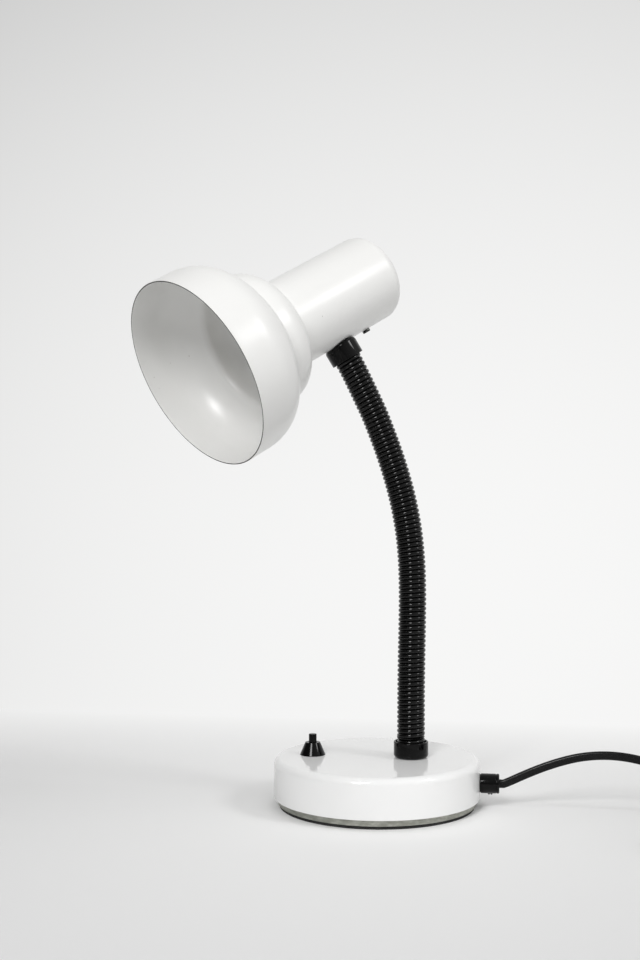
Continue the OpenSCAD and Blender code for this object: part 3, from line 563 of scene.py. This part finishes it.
def cord_sleeve():
    """Ribbed strain relief that tapers from the plug to the cord."""
    corners = [(CORD_T / 2, 0)]
    for k in range(SLEEVE_RIBS):
        low = PLUG_NECK * k / SLEEVE_RIBS
        high = PLUG_NECK * (k + SLEEVE_RIB_SHARE) / SLEEVE_RIBS
        following = PLUG_NECK * (k + 1) / SLEEVE_RIBS
        outer = SLEEVE_R - SLEEVE_TAPER * (low + high) / 2 / PLUG_NECK
        groove = outer - SLEEVE_GROOVE
        corners += [(outer, low, 0.3), (outer, high, 0.3)]
        if k < SLEEVE_RIBS - 1:
            corners += [(groove, high, 0.2), (groove, following, 0.2)]
    corners.append((CORD_T / 2, high))
    sleeve = spun(rounded(corners, 3), 48)
    return moved(sleeve, at(PLUG_AT.x, plug_face + PLUG_LEN, PLUG_AT.z) @ turned(-90, "X"))


def plug_pins():
    """Two round pins, each with a thicker root inside the plug."""
    outline = rounded([(0, -PIN_ROOT), (PIN_ROOT_R, -PIN_ROOT), (PIN_ROOT_R, 0), (PIN_R, 0),
                       (PIN_R, PIN_LEN, 1.2), (0, PIN_LEN)], 8, closed=False)
    parts = []
    for side in (-1, 1):
        place = at(PLUG_AT.x + side * PIN_GAP / 2, plug_face, PLUG_AT.z) @ turned(90, "X")
        parts.append(moved(spun(outline, 32, closed=False), place))
    return joined(*parts)


route = cord_path()
plug = piece("plug", plug_body(), PLUG_BLACK, "base", ["plug_body"])
pins = piece("pins", plug_pins(), ZINC, "base", ["plug_pins"])
cord = piece("mains_flex", swept(route, cord_section(), UP), BLACK_CORD, "base",
             ["mains_cord", "cord_coil", "cord_tail"])


# ---- Base

def base_cover():
    """Pressed steel cover with three pillars for the bottom plate's screws."""
    inner_r, under = base_r - COVER_SHEET, base_top - COVER_SHEET
    shell = spun(rounded([
        (0, base_top), (base_r, base_top, COVER_EDGE), (base_r, base_low.z, 0.4),
        (inner_r, base_low.z, 0.4), (inner_r, under, COVER_EDGE - COVER_SHEET), (0, under),
    ], 10, closed=False), 160, closed=False)
    pillars = []
    for angle in PILLAR_ANGLES:
        pillar = spun(rounded([
            (PILLAR_BORE_R, PLATE_TOP), (PILLAR_R, PLATE_TOP, 0.3), (PILLAR_R, under),
            (PILLAR_BORE_R, under),
        ]), 32)
        pillars.append(moved(pillar, turned(angle, "Z") @ at(PILLAR_AT_R, 0, 0)))
    return joined(shell, *pillars)


def neck_cup():
    """Lower cup: a thin lip above and a rounded foot."""
    height = cup_high.z - cup_low.z
    inner = CUP_R - CUP_WALL
    return spun(rounded([
        (TUBE_R, 0), (CUP_R, 0, CUP_FOOT_EDGE), (CUP_R, height, CUP_LIP_EDGE),
        (inner, height, CUP_LIP_EDGE), (inner, CUP_FLOOR, 0.4), (TUBE_R, CUP_FLOOR),
    ], 8), 96)


def switch_ring():
    """Conical ring nut with a thin edge at its foot and a flat top."""
    height = ring_high.z - ring_low.z
    foot = (ring_high.x - ring_low.x) / 2
    return spun(rounded([
        (RING_BORE_R, 0), (foot, 0, 0.08), (foot, 0.3, 0.12), (RING_TOP_R, height, 0.25),
        (RING_BORE_R + 0.3, height, 0.2), (RING_BORE_R, height - 0.5),
    ], 5), 96)


def switch_button():
    """Round button on a wider foot that stays under the ring nut."""
    height = button_high.z - button_low.z
    return spun(rounded([
        (0, 0), (BUTTON_FOOT_R, 0), (BUTTON_FOOT_R, BUTTON_FOOT_H), (BUTTON_R, BUTTON_FOOT_H),
        (BUTTON_R, height, 0.55), (0, height),
    ], 6, closed=False), 64, closed=False)


def return_spring(low, high):
    """Coil of round wire under the button's foot, flatter towards each end."""
    flat = 0.12
    spring_r = (high.x - low.x) / 2 - SPRING_WIRE
    run = high.z - low.z - 2 * SPRING_WIRE
    steps = 24 * SPRING_TURNS
    path = []
    for i in range(steps + 1):
        a = math.tau * SPRING_TURNS * i / steps
        rise = smooth_step((i / steps - flat) / (1 - 2 * flat)) * 0.5 + i / steps * 0.5
        path.append(Vector((spring_r * math.cos(a), spring_r * math.sin(a),
                            low.z + SPRING_WIRE + run * rise)))
    wire = [(SPRING_WIRE * math.cos(a), SPRING_WIRE * math.sin(a))
            for a in (math.tau * k / 10 for k in range(10))]
    return moved(swept(path, wire, UP), at(switch_at.x, switch_at.y, 0))


def cord_gland():
    """Turned gland with a flange at its outer end, on Y behind the cover."""
    length = gland_high.y - base_r - 0.6
    inner = gland_low.y - base_r
    r = (gland_high.x - gland_low.x) / 2 - 0.3
    foot, groove = r - 0.4, r - 0.22
    return spun(rounded([
        (GLAND_BORE_R, inner), (GLAND_SPIGOT_R, inner, 0.3), (GLAND_SPIGOT_R, -0.6),
        (foot, -0.6), (foot, 0.4, 0.2), (r, 0.9, 0.2), (r, length - 2.3, 0.2),
        (groove, length - 2.1, 0.15), (groove, length - 1.8, 0.15), (r, length - 1.6, 0.2),
        (r, length, 0.7), (GLAND_BORE_R + 0.4, length, 0.5), (GLAND_BORE_R, length - 1.2),
    ], 5), 96)


def gland_screw():
    """Slotted screw that holds the gland's insert, from below."""
    head = spun(rounded([(0, 0), (GRUB_R, 0), (GRUB_R, GRUB_LEN, 0.35), (0, GRUB_LEN)],
                        4, closed=False), 32, closed=False)
    return cut_slot(head, GRUB_LEN)


gland_mid_y = (base_r + gland_high.y) / 2
gland_z = (gland_low.z + gland_high.z) / 2
screw_low = node_box("gland_screw")[0]
piece("cover", base_cover(), BASE_ENAMEL, "base", ["base_cover"])
piece("lower_cup", neck_cup(), BLACK_PLASTIC, "base", ["neck_cup_lower"],
      at(neck_at.x, neck_at.y, base_top))
piece("ring_nut", switch_ring(), BLACK_PLASTIC, "base", ["switch_ring"],
      at(switch_at.x, switch_at.y, base_top))
piece("button_cap", switch_button(), BLACK_PLASTIC, "button",
      ["switch_button"], at(switch_at.x, switch_at.y, button_low.z))
spring_low, spring_high = node_box("switch_spring")
spring = piece("return_coil", return_spring(spring_low, spring_high), ZINC, "base",
               ["switch_spring"])
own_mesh(spring)
piece("gland", cord_gland(), BLACK_PLASTIC, "base", ["cord_gland"],
      at(0, base_r, gland_z) @ turned(-90, "X"))
piece("gland_grub_screw", gland_screw(), BLACK_STEEL, "base", ["gland_screw"],
      at(0, gland_mid_y, screw_low.z + GRUB_LEN) @ turned(180, "X"))


# ---- Gooseneck

def joint_at(index):
    """Odd joints bend the neck and even ones sway it."""
    kind = "bend" if index % 2 else "sway"
    return Vector(joints[f"neck_{kind}_{index:02d}"]["pos_m"]) / MM


neck_foot = Vector((neck_at.x, neck_at.y, base_top + CUP_FLOOR))
hinges = [neck_foot] + [joint_at(i) for i in range(1, NECK_JOINTS)] + [neck_end]
hinge_runs = [0.0]
for index in range(1, NECK_JOINTS):
    hinge_runs.append(hinge_runs[-1] + (hinges[index] - hinges[index - 1]).length)
link_len = hinge_runs[1]
hinge_runs.append(link_len * (NECK_JOINTS + 1))
slopes = [UP] + [
    (hinges[i + 1] - hinges[i - 1]) / (hinge_runs[i + 1] - hinge_runs[i - 1])
    for i in range(1, NECK_JOINTS)] + [neck_dir]


def on_neck(run):
    """The point and the direction of the neck's middle line at a distance from its foot."""
    i = 0
    while i < NECK_JOINTS - 1 and run > hinge_runs[i + 1]:
        i += 1
    span = hinge_runs[i + 1] - hinge_runs[i]
    t = (run - hinge_runs[i]) / span
    a, b, u, v = hinges[i], hinges[i + 1], slopes[i] * span, slopes[i + 1] * span
    point = (a * (2 * t ** 3 - 3 * t ** 2 + 1) + u * (t ** 3 - 2 * t ** 2 + t)
             + b * (3 * t ** 2 - 2 * t ** 3) + v * (t ** 3 - t ** 2))
    slope = (a * (6 * t ** 2 - 6 * t) + u * (3 * t ** 2 - 4 * t + 1)
             + b * (6 * t - 6 * t ** 2) + v * (3 * t ** 2 - 2 * t))
    return point, slope.normalized()


def wound_tube(start, end):
    """A stretch of the wound neck: one rib swept up a screw line, with flat ends and a bore."""
    pitch = link_len / LINK_TURNS
    angles = [math.pi * k / RIB_STEPS for k in range(RIB_STEPS + 1)]
    rib = [(GROOVE_R + (RIB_R - GROOVE_R) * math.sin(a), pitch / 2 * (1 - math.cos(a)))
           for a in angles]
    turns = round((end - start) / pitch) + 2
    bm = bmesh.new()
    verts = [bm.verts.new((r, 0, start - pitch + z)) for r, z in rib]
    edges = [bm.edges.new(pair) for pair in zip(verts, verts[1:])]
    rise = pitch / NECK_STEPS
    bmesh.ops.spin(bm, geom=verts + edges, cent=(0, 0, 0), axis=(0, 0, 1), dvec=(0, 0, rise),
                   angle=math.tau * turns, steps=NECK_STEPS * turns, use_duplicate=False)
    bmesh.ops.remove_doubles(bm, verts=bm.verts, dist=SCREW_WELD)
    for z, outwards in ((start, -1), (end, 1)):
        bmesh.ops.bisect_plane(bm, geom=bm.verts[:] + bm.edges[:] + bm.faces[:],
                               plane_co=(0, 0, z), plane_no=(0, 0, outwards),
                               clear_outer=True, dist=WELD)
    bmesh.ops.recalc_face_normals(bm, faces=bm.faces)
    close_bore(bm)
    return bm


def close_bore(bm):
    """Joins the two open ends of a tube by a bore."""
    rims = [e for e in bm.edges if e.is_boundary]
    grown = bmesh.ops.extrude_edge_only(bm, edges=rims)["geom"]
    inner = [g for g in grown if isinstance(g, bmesh.types.BMVert)]
    for v in inner:
        v.co.xy = v.co.xy.normalized() * NECK_BORE_R
    bmesh.ops.remove_doubles(bm, verts=inner, dist=0.01)
    bmesh.ops.bridge_loops(bm, edges=[e for e in bm.edges if e.is_boundary])
    bmesh.ops.recalc_face_normals(bm, faces=bm.faces)


def bent(bm):
    """Bends a straight stretch on to the neck's line."""
    for v in bm.verts:
        point, along = on_neck(v.co.z)
        side = along.cross(Vector((1, 0, 0))).normalized()
        across = side.cross(along)
        v.co = point + across * v.co.x + side * v.co.y
    bmesh.ops.recalc_face_normals(bm, faces=bm.faces)
    return bm


def neck_piece(name, start, end, body, nodes=()):
    return piece(name, bent(wound_tube(start, end)), BLACK_NECK, body, nodes,
                 sharp=60)


neck_run = link_len * (NECK_JOINTS + 1)
neck_piece("neck_root", NECK_END_GAP, link_len / 2, "base", ["neck_link_00"])
for index in range(1, NECK_JOINTS + 1):
    start, end = link_len * (index - 0.5), link_len * (index + 0.5)
    stretch = neck_piece(f"neck_turns_{index:02d}", start, end, None, [f"neck_link_{index:02d}"])
    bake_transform(stretch)
neck_piece("neck_tip", link_len * (NECK_JOINTS + 0.5), neck_run - NECK_END_GAP, "neck_12")


# ---- Head

seat = HOUSING_R + CUP_FLOOR
head = (Matrix.Translation(neck_end + neck_dir * seat)
        @ Matrix.Rotation(math.atan2(neck_dir.x, neck_dir.z), 4, "Y")
        @ Matrix.Rotation(math.asin(-neck_dir.y), 4, "X") @ turned(HEAD_TURN, "Z"))


def along_housing(y):
    """Place on the housing's axis, with Z running back."""
    return head @ at(0, y, 0) @ turned(-90, "X")


holder_front = -(HOUSING_FRONT + HOLDER_OUT)
ring_front = holder_front + RING_IN
shade_len = TIER_Z + math.sqrt(TIER_ARC ** 2 - (HOUSING_R - TIER_R + TIER_ARC) ** 2)
rim_y = -(HOUSING_FRONT + shade_len)


def shade_form(inset, fold_r):
    """Half section of the bowl, the fold and the step, offset inwards, from the rim back."""
    bowl_centre, tier_centre = RIM_R - BOWL_ARC, TIER_R - TIER_ARC
    fold_centre = TIER_R - inset + fold_r
    across = fold_centre - bowl_centre
    fold_z = BOWL_STRAIGHT + math.sqrt((BOWL_ARC - inset + fold_r) ** 2 - across ** 2)
    meets = math.degrees(math.atan2(fold_z - BOWL_STRAIGHT, across))
    tier_arc = TIER_ARC - inset
    ends = math.degrees(math.asin(min(1, (shade_len - inset - TIER_Z) / tier_arc)))
    wall = [(RIM_R - inset, BOWL_STRAIGHT * k / 6) for k in range(1, 6)]
    bowl = arc(bowl_centre, BOWL_STRAIGHT, BOWL_ARC - inset, 0, meets, 24)
    fold = arc(fold_centre, fold_z, fold_r, 180 + meets, 180, 8)
    tier = arc(tier_centre, TIER_Z, tier_arc, 0, ends, 18)
    return wall + bowl + fold[1:] + tier


def shade():
    """Spun steel bowl with a rolled rim, a fold at its step and a flat seat behind."""
    bore = HOLDER_R + FIT
    rim = arc(RIM_R - SHEET / 2, SHEET / 2, SHEET / 2, 180, 360, 8)
    seat_back = [(bore, shade_len), (bore, shade_len - SHEET)]
    inside = shade_form(SHEET, INNER_FOLD_R)[::-1]
    bm = spun(rim + shade_form(0, FOLD_R) + seat_back + inside, 180)
    # The faces at the very edge of the rim take the second finish, a thin dark grey line round the
    # mouth.
    for face in bm.faces:
        face.material_index = 1 if face.calc_center_median().z < RIM_EDGE_Z else 0
    return bm


def housing():
    """Drawn steel can, open in front, with a rounded end."""
    inner_r, floor = HOUSING_R - SHEET, HOUSING_LEN - SHEET
    return spun(rounded([
        (0, HOUSING_LEN), (HOUSING_R, HOUSING_LEN, HOUSING_EDGE), (HOUSING_R, 0, 0.25),
        (inner_r, 0, 0.25), (inner_r, floor, HOUSING_EDGE - SHEET), (0, floor),
    ], 12, closed=False), 144, closed=False)


def collar():
    """Upper cup: a thin lip over the neck's end and a rounded edge that fits the housing."""
    inner = CUP_R - CUP_WALL
    low = -seat - COLLAR_SKIRT
    bm = spun(rounded([
        (TUBE_R, -seat), (inner, -seat, 0.4), (inner, low, 0.3), (CUP_R, low, CUP_LIP_EDGE),
        (CUP_R, -HOUSING_R - SADDLE_RISE), (CUP_R, -HOUSING_R, CUP_FOOT_EDGE),
        (TUBE_R, -HOUSING_R),
    ], 8), 96)
    for v in bm.verts:
        share = max(0.0, (v.co.z + HOUSING_R + SADDLE_RISE) / SADDLE_RISE)
        saddle = HOUSING_R - math.sqrt(HOUSING_R ** 2 - v.co.x ** 2) - SADDLE_SINK
        v.co.z += share * saddle
    return bm


def bracket_screw():
    """Slotted cheese-head screw under the housing."""
    head_z, shank_z, shank_r = 1.8, -2.5, 1.5
    bm = spun(rounded([
        (0, shank_z), (shank_r, shank_z), (shank_r, 0), (2.6, 0, 0.2), (2.5, head_z, 0.4),
        (0, head_z),
    ], 5, closed=False), 40, closed=False)
    return cut_slot(bm, head_z)


def shade_ring():
    """Ring that holds the shade on the lampholder, knurled round its edge."""
    height = -HOUSING_FRONT - SHEET - FIT - ring_front
    inner, outer = HOLDER_R + FIT, HOLDER_R + RING_W
    bm = spun(rounded([
        (inner, 0), (outer, 0, 0.5), (outer, height, 0.5), (inner, height),
    ], 4), 144)
    for v in bm.verts:
        flat = Vector((v.co.x, v.co.y))
        if flat.length > outer - 0.7:
            knurl = KNURL_DEPTH * math.cos(KNURLS * math.atan2(flat.y, flat.x))
            v.co.xy = flat * (1 + (knurl - KNURL_DEPTH) / flat.length)
    return bm


def lampholder_body():
    """Glazed holder with a stepped front and a seat for the screw shell."""
    flange = HOLDER_R + 3.5
    bore = SHELL_R + 0.55
    floor = holder_front + SHELL_IN + SHELL_LEN + 3.5
    return spun(rounded([
        (0, floor), (bore, floor, 0.5), (bore, holder_front, 0.8), (HOLDER_R, holder_front, 0.8),
        (HOLDER_R, -HOUSING_FRONT), (flange, -HOUSING_FRONT, 0.3),
        (flange, 2.5 - HOUSING_FRONT, 0.3), (HOLDER_R, 3.5 - HOUSING_FRONT), (HOLDER_R, -14),
        (HOLDER_BACK_R, -8, 0.5), (HOLDER_BACK_R, HOLDER_BACK, 0.6), (0, HOLDER_BACK),
    ], 5, closed=False), 96, closed=False)


def screw_shell():
    """Brass shell with a rolled Edison thread and a turned-in back."""
    pitch, depth, wall, hole = 3.6, 0.55, 0.35, 9
    steps = 10
    thread = [(SHELL_R + depth / 2 * (1 + math.cos(math.tau * k / steps)), pitch * k / steps)
              for k in range(steps + 1)]
    turns = math.ceil(SHELL_LEN / pitch) + 1
    bm = bmesh.new()
    verts = [bm.verts.new((r - 0.5 * depth, 0, z - pitch)) for r, z in thread]
    edges = [bm.edges.new(pair) for pair in zip(verts, verts[1:])]
    bmesh.ops.spin(bm, geom=verts + edges, cent=(0, 0, 0), axis=(0, 0, 1),
                   dvec=(0, 0, pitch / SHELL_STEPS), angle=math.tau * turns,
                   steps=SHELL_STEPS * turns, use_duplicate=False)
    bmesh.ops.remove_doubles(bm, verts=bm.verts, dist=SCREW_WELD)
    for z, outwards in ((0, -1), (SHELL_LEN - wall, 1)):
        bmesh.ops.bisect_plane(bm, geom=bm.verts[:] + bm.edges[:] + bm.faces[:],
                               plane_co=(0, 0, z), plane_no=(0, 0, outwards), clear_outer=True)
    bmesh.ops.recalc_face_normals(bm, faces=bm.faces)
    bmesh.ops.solidify(bm, geom=bm.faces[:], thickness=wall)
    bmesh.ops.recalc_face_normals(bm, faces=bm.faces)
    back = spun([(hole, SHELL_LEN - wall), (SHELL_R, SHELL_LEN - wall), (SHELL_R, SHELL_LEN),
                 (hole, SHELL_LEN)], SHELL_STEPS)
    return joined(bm, back)


bowl = piece("bowl", shade(), HEAD_ENAMEL, "head", ["shade"],
             along_housing(rim_y))
bowl.data.materials.append(RIM_EDGE)
piece("can", housing(), HEAD_ENAMEL, "head", ["housing"],
      along_housing(-HOUSING_FRONT))
piece("upper_cup", collar(), BLACK_PLASTIC, "head", ["neck_cup_upper"], head)
piece("can_screw", bracket_screw(), BLACK_STEEL, "head", ["bracket_screw"],
      head @ at(0, SCREW_Y, -HOUSING_R - 0.1) @ turned(180, "X"))
piece("holder_ring", shade_ring(), CERAMIC, "head", ["shade_ring"],
      along_housing(ring_front))
piece("holder", lampholder_body(), CERAMIC, "head", ["lampholder_body"],
      along_housing(0))
piece("holder_shell", screw_shell(), BRASS, "head", ["lampholder_shell"],
      along_housing(holder_front + SHELL_IN))


# ---- Floor, backdrop and light

FLOOR_NEAR = 1.6
FLOOR_SIDE = 1.6
FLOOR_LIGHT_POOL = (0.08, 0.32)
FLOOR_BOUNCES = (0.25, 0.7)
COVE_X = -0.45
COVE_R = 0.12
COVE_STEPS = 12
BACKDROP_TOP = 1.5
PAPER = (0.80, 0.80, 0.798)
PAPER_NEAR = (0.93, 0.93, 0.925)
PAPER_FRONT = (0.77, 0.77, 0.77)
PAPER_FAR = (0.35, 0.35, 0.35)
# Painted light on the backdrop: its glow is palest at BACKDROP_SPOT and fades with distance from
# there.
BACKDROP_SPOT = (0, 0.08, 0.10)
BACKDROP_STRETCH = (0, 0.8, 1)
BACKDROP_TONE = 0.93
BACKDROP_LEAST = 0.6
BACKDROP_FALL = 0.57
BACKDROP_FOOT = (-0.02, -0.30)
LIGHT_TARGET = (0, 0, 0.2)


def distance(tree, point, stretch):
    """Distance from a point, in metres, with each axis stretched."""
    coordinates = tree.nodes.new("ShaderNodeTexCoord")
    offset = tree.nodes.new("ShaderNodeVectorMath")
    offset.operation = "SUBTRACT"
    offset.inputs[1].default_value = point
    scaled = tree.nodes.new("ShaderNodeVectorMath")
    scaled.operation = "MULTIPLY"
    scaled.inputs[1].default_value = stretch
    length = tree.nodes.new("ShaderNodeVectorMath")
    length.operation = "LENGTH"
    tree.links.new(coordinates.outputs["Object"], offset.inputs[0])
    tree.links.new(offset.outputs["Vector"], scaled.inputs[0])
    tree.links.new(scaled.outputs["Vector"], length.inputs[0])
    return length.outputs["Value"]


def calculated(tree, operation, *values):
    """A Math node of sockets and numbers."""
    node = tree.nodes.new("ShaderNodeMath")
    node.operation = operation
    for socket, value in zip(node.inputs, values):
        if isinstance(value, (int, float)):
            socket.default_value = value
        else:
            tree.links.new(value, socket)
    return node.outputs["Value"]


def painted_backdrop_light(tree):
    """What the camera sees of the backdrop: a painted pool of light that glows palest behind the
    lamp's foot and fades away from it.
    """
    away = distance(tree, BACKDROP_SPOT, BACKDROP_STRETCH)
    fall = calculated(tree, "MULTIPLY", calculated(tree, "POWER", away, 2.0), BACKDROP_FALL)
    tone = calculated(tree, "SUBTRACT", BACKDROP_TONE, fall)
    tone = calculated(tree, "MAXIMUM", tone, BACKDROP_LEAST)
    glow = tree.nodes.new("ShaderNodeEmission")
    glow.inputs["Color"].default_value = (1, 1, 0.995, 1)
    tree.links.new(tone, glow.inputs["Strength"])
    return glow.outputs["Emission"]


def mixed(tree, share, first, second):
    node = tree.nodes.new("ShaderNodeMixShader")
    tree.links.new(share, node.inputs["Fac"])
    tree.links.new(first, node.inputs[1])
    tree.links.new(second, node.inputs[2])
    return node.outputs["Shader"]


def stage_finish():
    """Pale paper that reflects less light far from the lamp, as a small table does: for light that
    bounces, its colour darkens there, a painted shade.

    The floor is lit and keeps the lamp's shadow, and for the camera it carries a painted pool of
    light, palest near the lamp.
    Camera and glossy rays see the backdrop as painted light that glows palest behind the lamp.
    From behind it can be seen through, so that it hides nothing.
    """
    material, tree, shader = new_finish("stage_paper", PAPER, 0.9)
    shader.inputs["Specular IOR Level"].default_value = 0.1
    geometry = tree.nodes.new("ShaderNodeNewGeometry")
    path = tree.nodes.new("ShaderNodeLightPath")
    seen = path.outputs["Is Camera Ray"]
    mirrored = calculated(tree, "MAXIMUM", seen, path.outputs["Is Glossy Ray"])
    clear = tree.nodes.new("ShaderNodeBsdfTransparent").outputs["BSDF"]
    away = distance(tree, (0, 0, 0), (1, 1, 0))
    # Painted shade for bounced light: away from the lamp the paper's colour darkens from PAPER to
    # PAPER_FAR.
    bounce = blend_colours(tree, spread(tree, away, *FLOOR_BOUNCES, 0, 1), PAPER, PAPER_FAR)
    # Painted light for the camera: the floor is paler near the lamp (PAPER_NEAR) and darker away
    # from it (PAPER_FRONT), a painted pool of light.
    floor = blend_colours(tree, spread(tree, away, *FLOOR_LIGHT_POOL, 0, 1), PAPER_NEAR, PAPER_FRONT)
    tree.links.new(blend_colours(tree, seen, bounce, floor), shader.inputs["Base Color"])
    coordinates = tree.nodes.new("ShaderNodeTexCoord")
    parts = tree.nodes.new("ShaderNodeSeparateXYZ")
    tree.links.new(coordinates.outputs["Object"], parts.inputs["Vector"])
    upright = spread(tree, parts.outputs["X"], *BACKDROP_FOOT, 0, 1)
    painted = calculated(tree, "MULTIPLY", mirrored, upright)
    front = mixed(tree, painted, shader.outputs["BSDF"], painted_backdrop_light(tree))
    whole = mixed(tree, geometry.outputs["Backfacing"], front, clear)
    tree.links.new(whole, tree.nodes["Material Output"].inputs["Surface"])
    return material


def stage():
    """Floor that sweeps up into a backdrop in one curve."""
    bm = bmesh.new()
    profile = [(FLOOR_NEAR, 0.0), (COVE_X + COVE_R, 0.0)]
    for k in range(1, COVE_STEPS + 1):
        a = math.radians(90 * k / COVE_STEPS)
        profile.append((COVE_X + COVE_R * (1 - math.sin(a)), COVE_R * (1 - math.cos(a))))
    profile.append((COVE_X, BACKDROP_TOP))
    verts = [bm.verts.new((x, -FLOOR_SIDE, z)) for x, z in profile]
    edges = [bm.edges.new(pair) for pair in zip(verts, verts[1:])]
    grown = bmesh.ops.extrude_edge_only(bm, edges=edges)["geom"]
    bmesh.ops.translate(bm, vec=(0, 2 * FLOOR_SIDE, 0),
                        verts=[g for g in grown if isinstance(g, bmesh.types.BMVert)])
    bm.normal_update()
    if bm.faces[:][0].normal.z < 0:
        bmesh.ops.reverse_faces(bm, faces=bm.faces)
    mesh = bpy.data.meshes.new("stage")
    bm.to_mesh(mesh)
    bm.free()
    mesh.shade_smooth()
    mesh.materials.append(stage_finish())
    obj = bpy.data.objects.new("stage", mesh)
    bpy.context.scene.collection.objects.link(obj)


def soft_light(name, place, size, power):
    """A rectangular lamp that faces the desk lamp."""
    light = bpy.data.lights.new(name, "AREA")
    light.shape = "RECTANGLE"
    light.size, light.size_y = size
    light.energy = power
    obj = bpy.data.objects.new(name, light)
    obj.location = place
    obj.rotation_euler = (Vector(LIGHT_TARGET) - Vector(place)).to_track_quat("-Z", "Y").to_euler()
    obj.visible_camera = False
    bpy.context.scene.collection.objects.link(obj)


def world_light(level, slope, seen):
    """Soft light, strongest on the cord's side. Seen directly it has one pale tone."""
    world = bpy.data.worlds.new("world")
    bpy.context.scene.world = world
    world.use_nodes = True
    tree = world.node_tree
    background = tree.nodes["Background"]
    background.inputs["Color"].default_value = (1, 1, 1, 1)
    coordinates = tree.nodes.new("ShaderNodeTexCoord")
    along = tree.nodes.new("ShaderNodeVectorMath")
    along.operation = "DOT_PRODUCT"
    along.inputs[1].default_value = slope
    tree.links.new(coordinates.outputs["Generated"], along.inputs[0])
    path = tree.nodes.new("ShaderNodeLightPath")
    choice = tree.nodes.new("ShaderNodeMix")
    tree.links.new(path.outputs["Is Camera Ray"], choice.inputs["Factor"])
    tree.links.new(calculated(tree, "ADD", along.outputs["Value"], level), choice.inputs["A"])
    choice.inputs["B"].default_value = seen
    tree.links.new(choice.outputs["Result"], background.inputs["Strength"])


stage()
world_light(0.45, (-0.18, 0.40, 0.06), 0.84)
soft_light("front_box", (2.12, -0.49, 1.52), (0.7, 0.9), 37)
soft_light("side_box", (0.64, 1.94, 1.67), (0.5, 0.6), 12)

bpy.context.scene.view_settings.view_transform = "Standard"
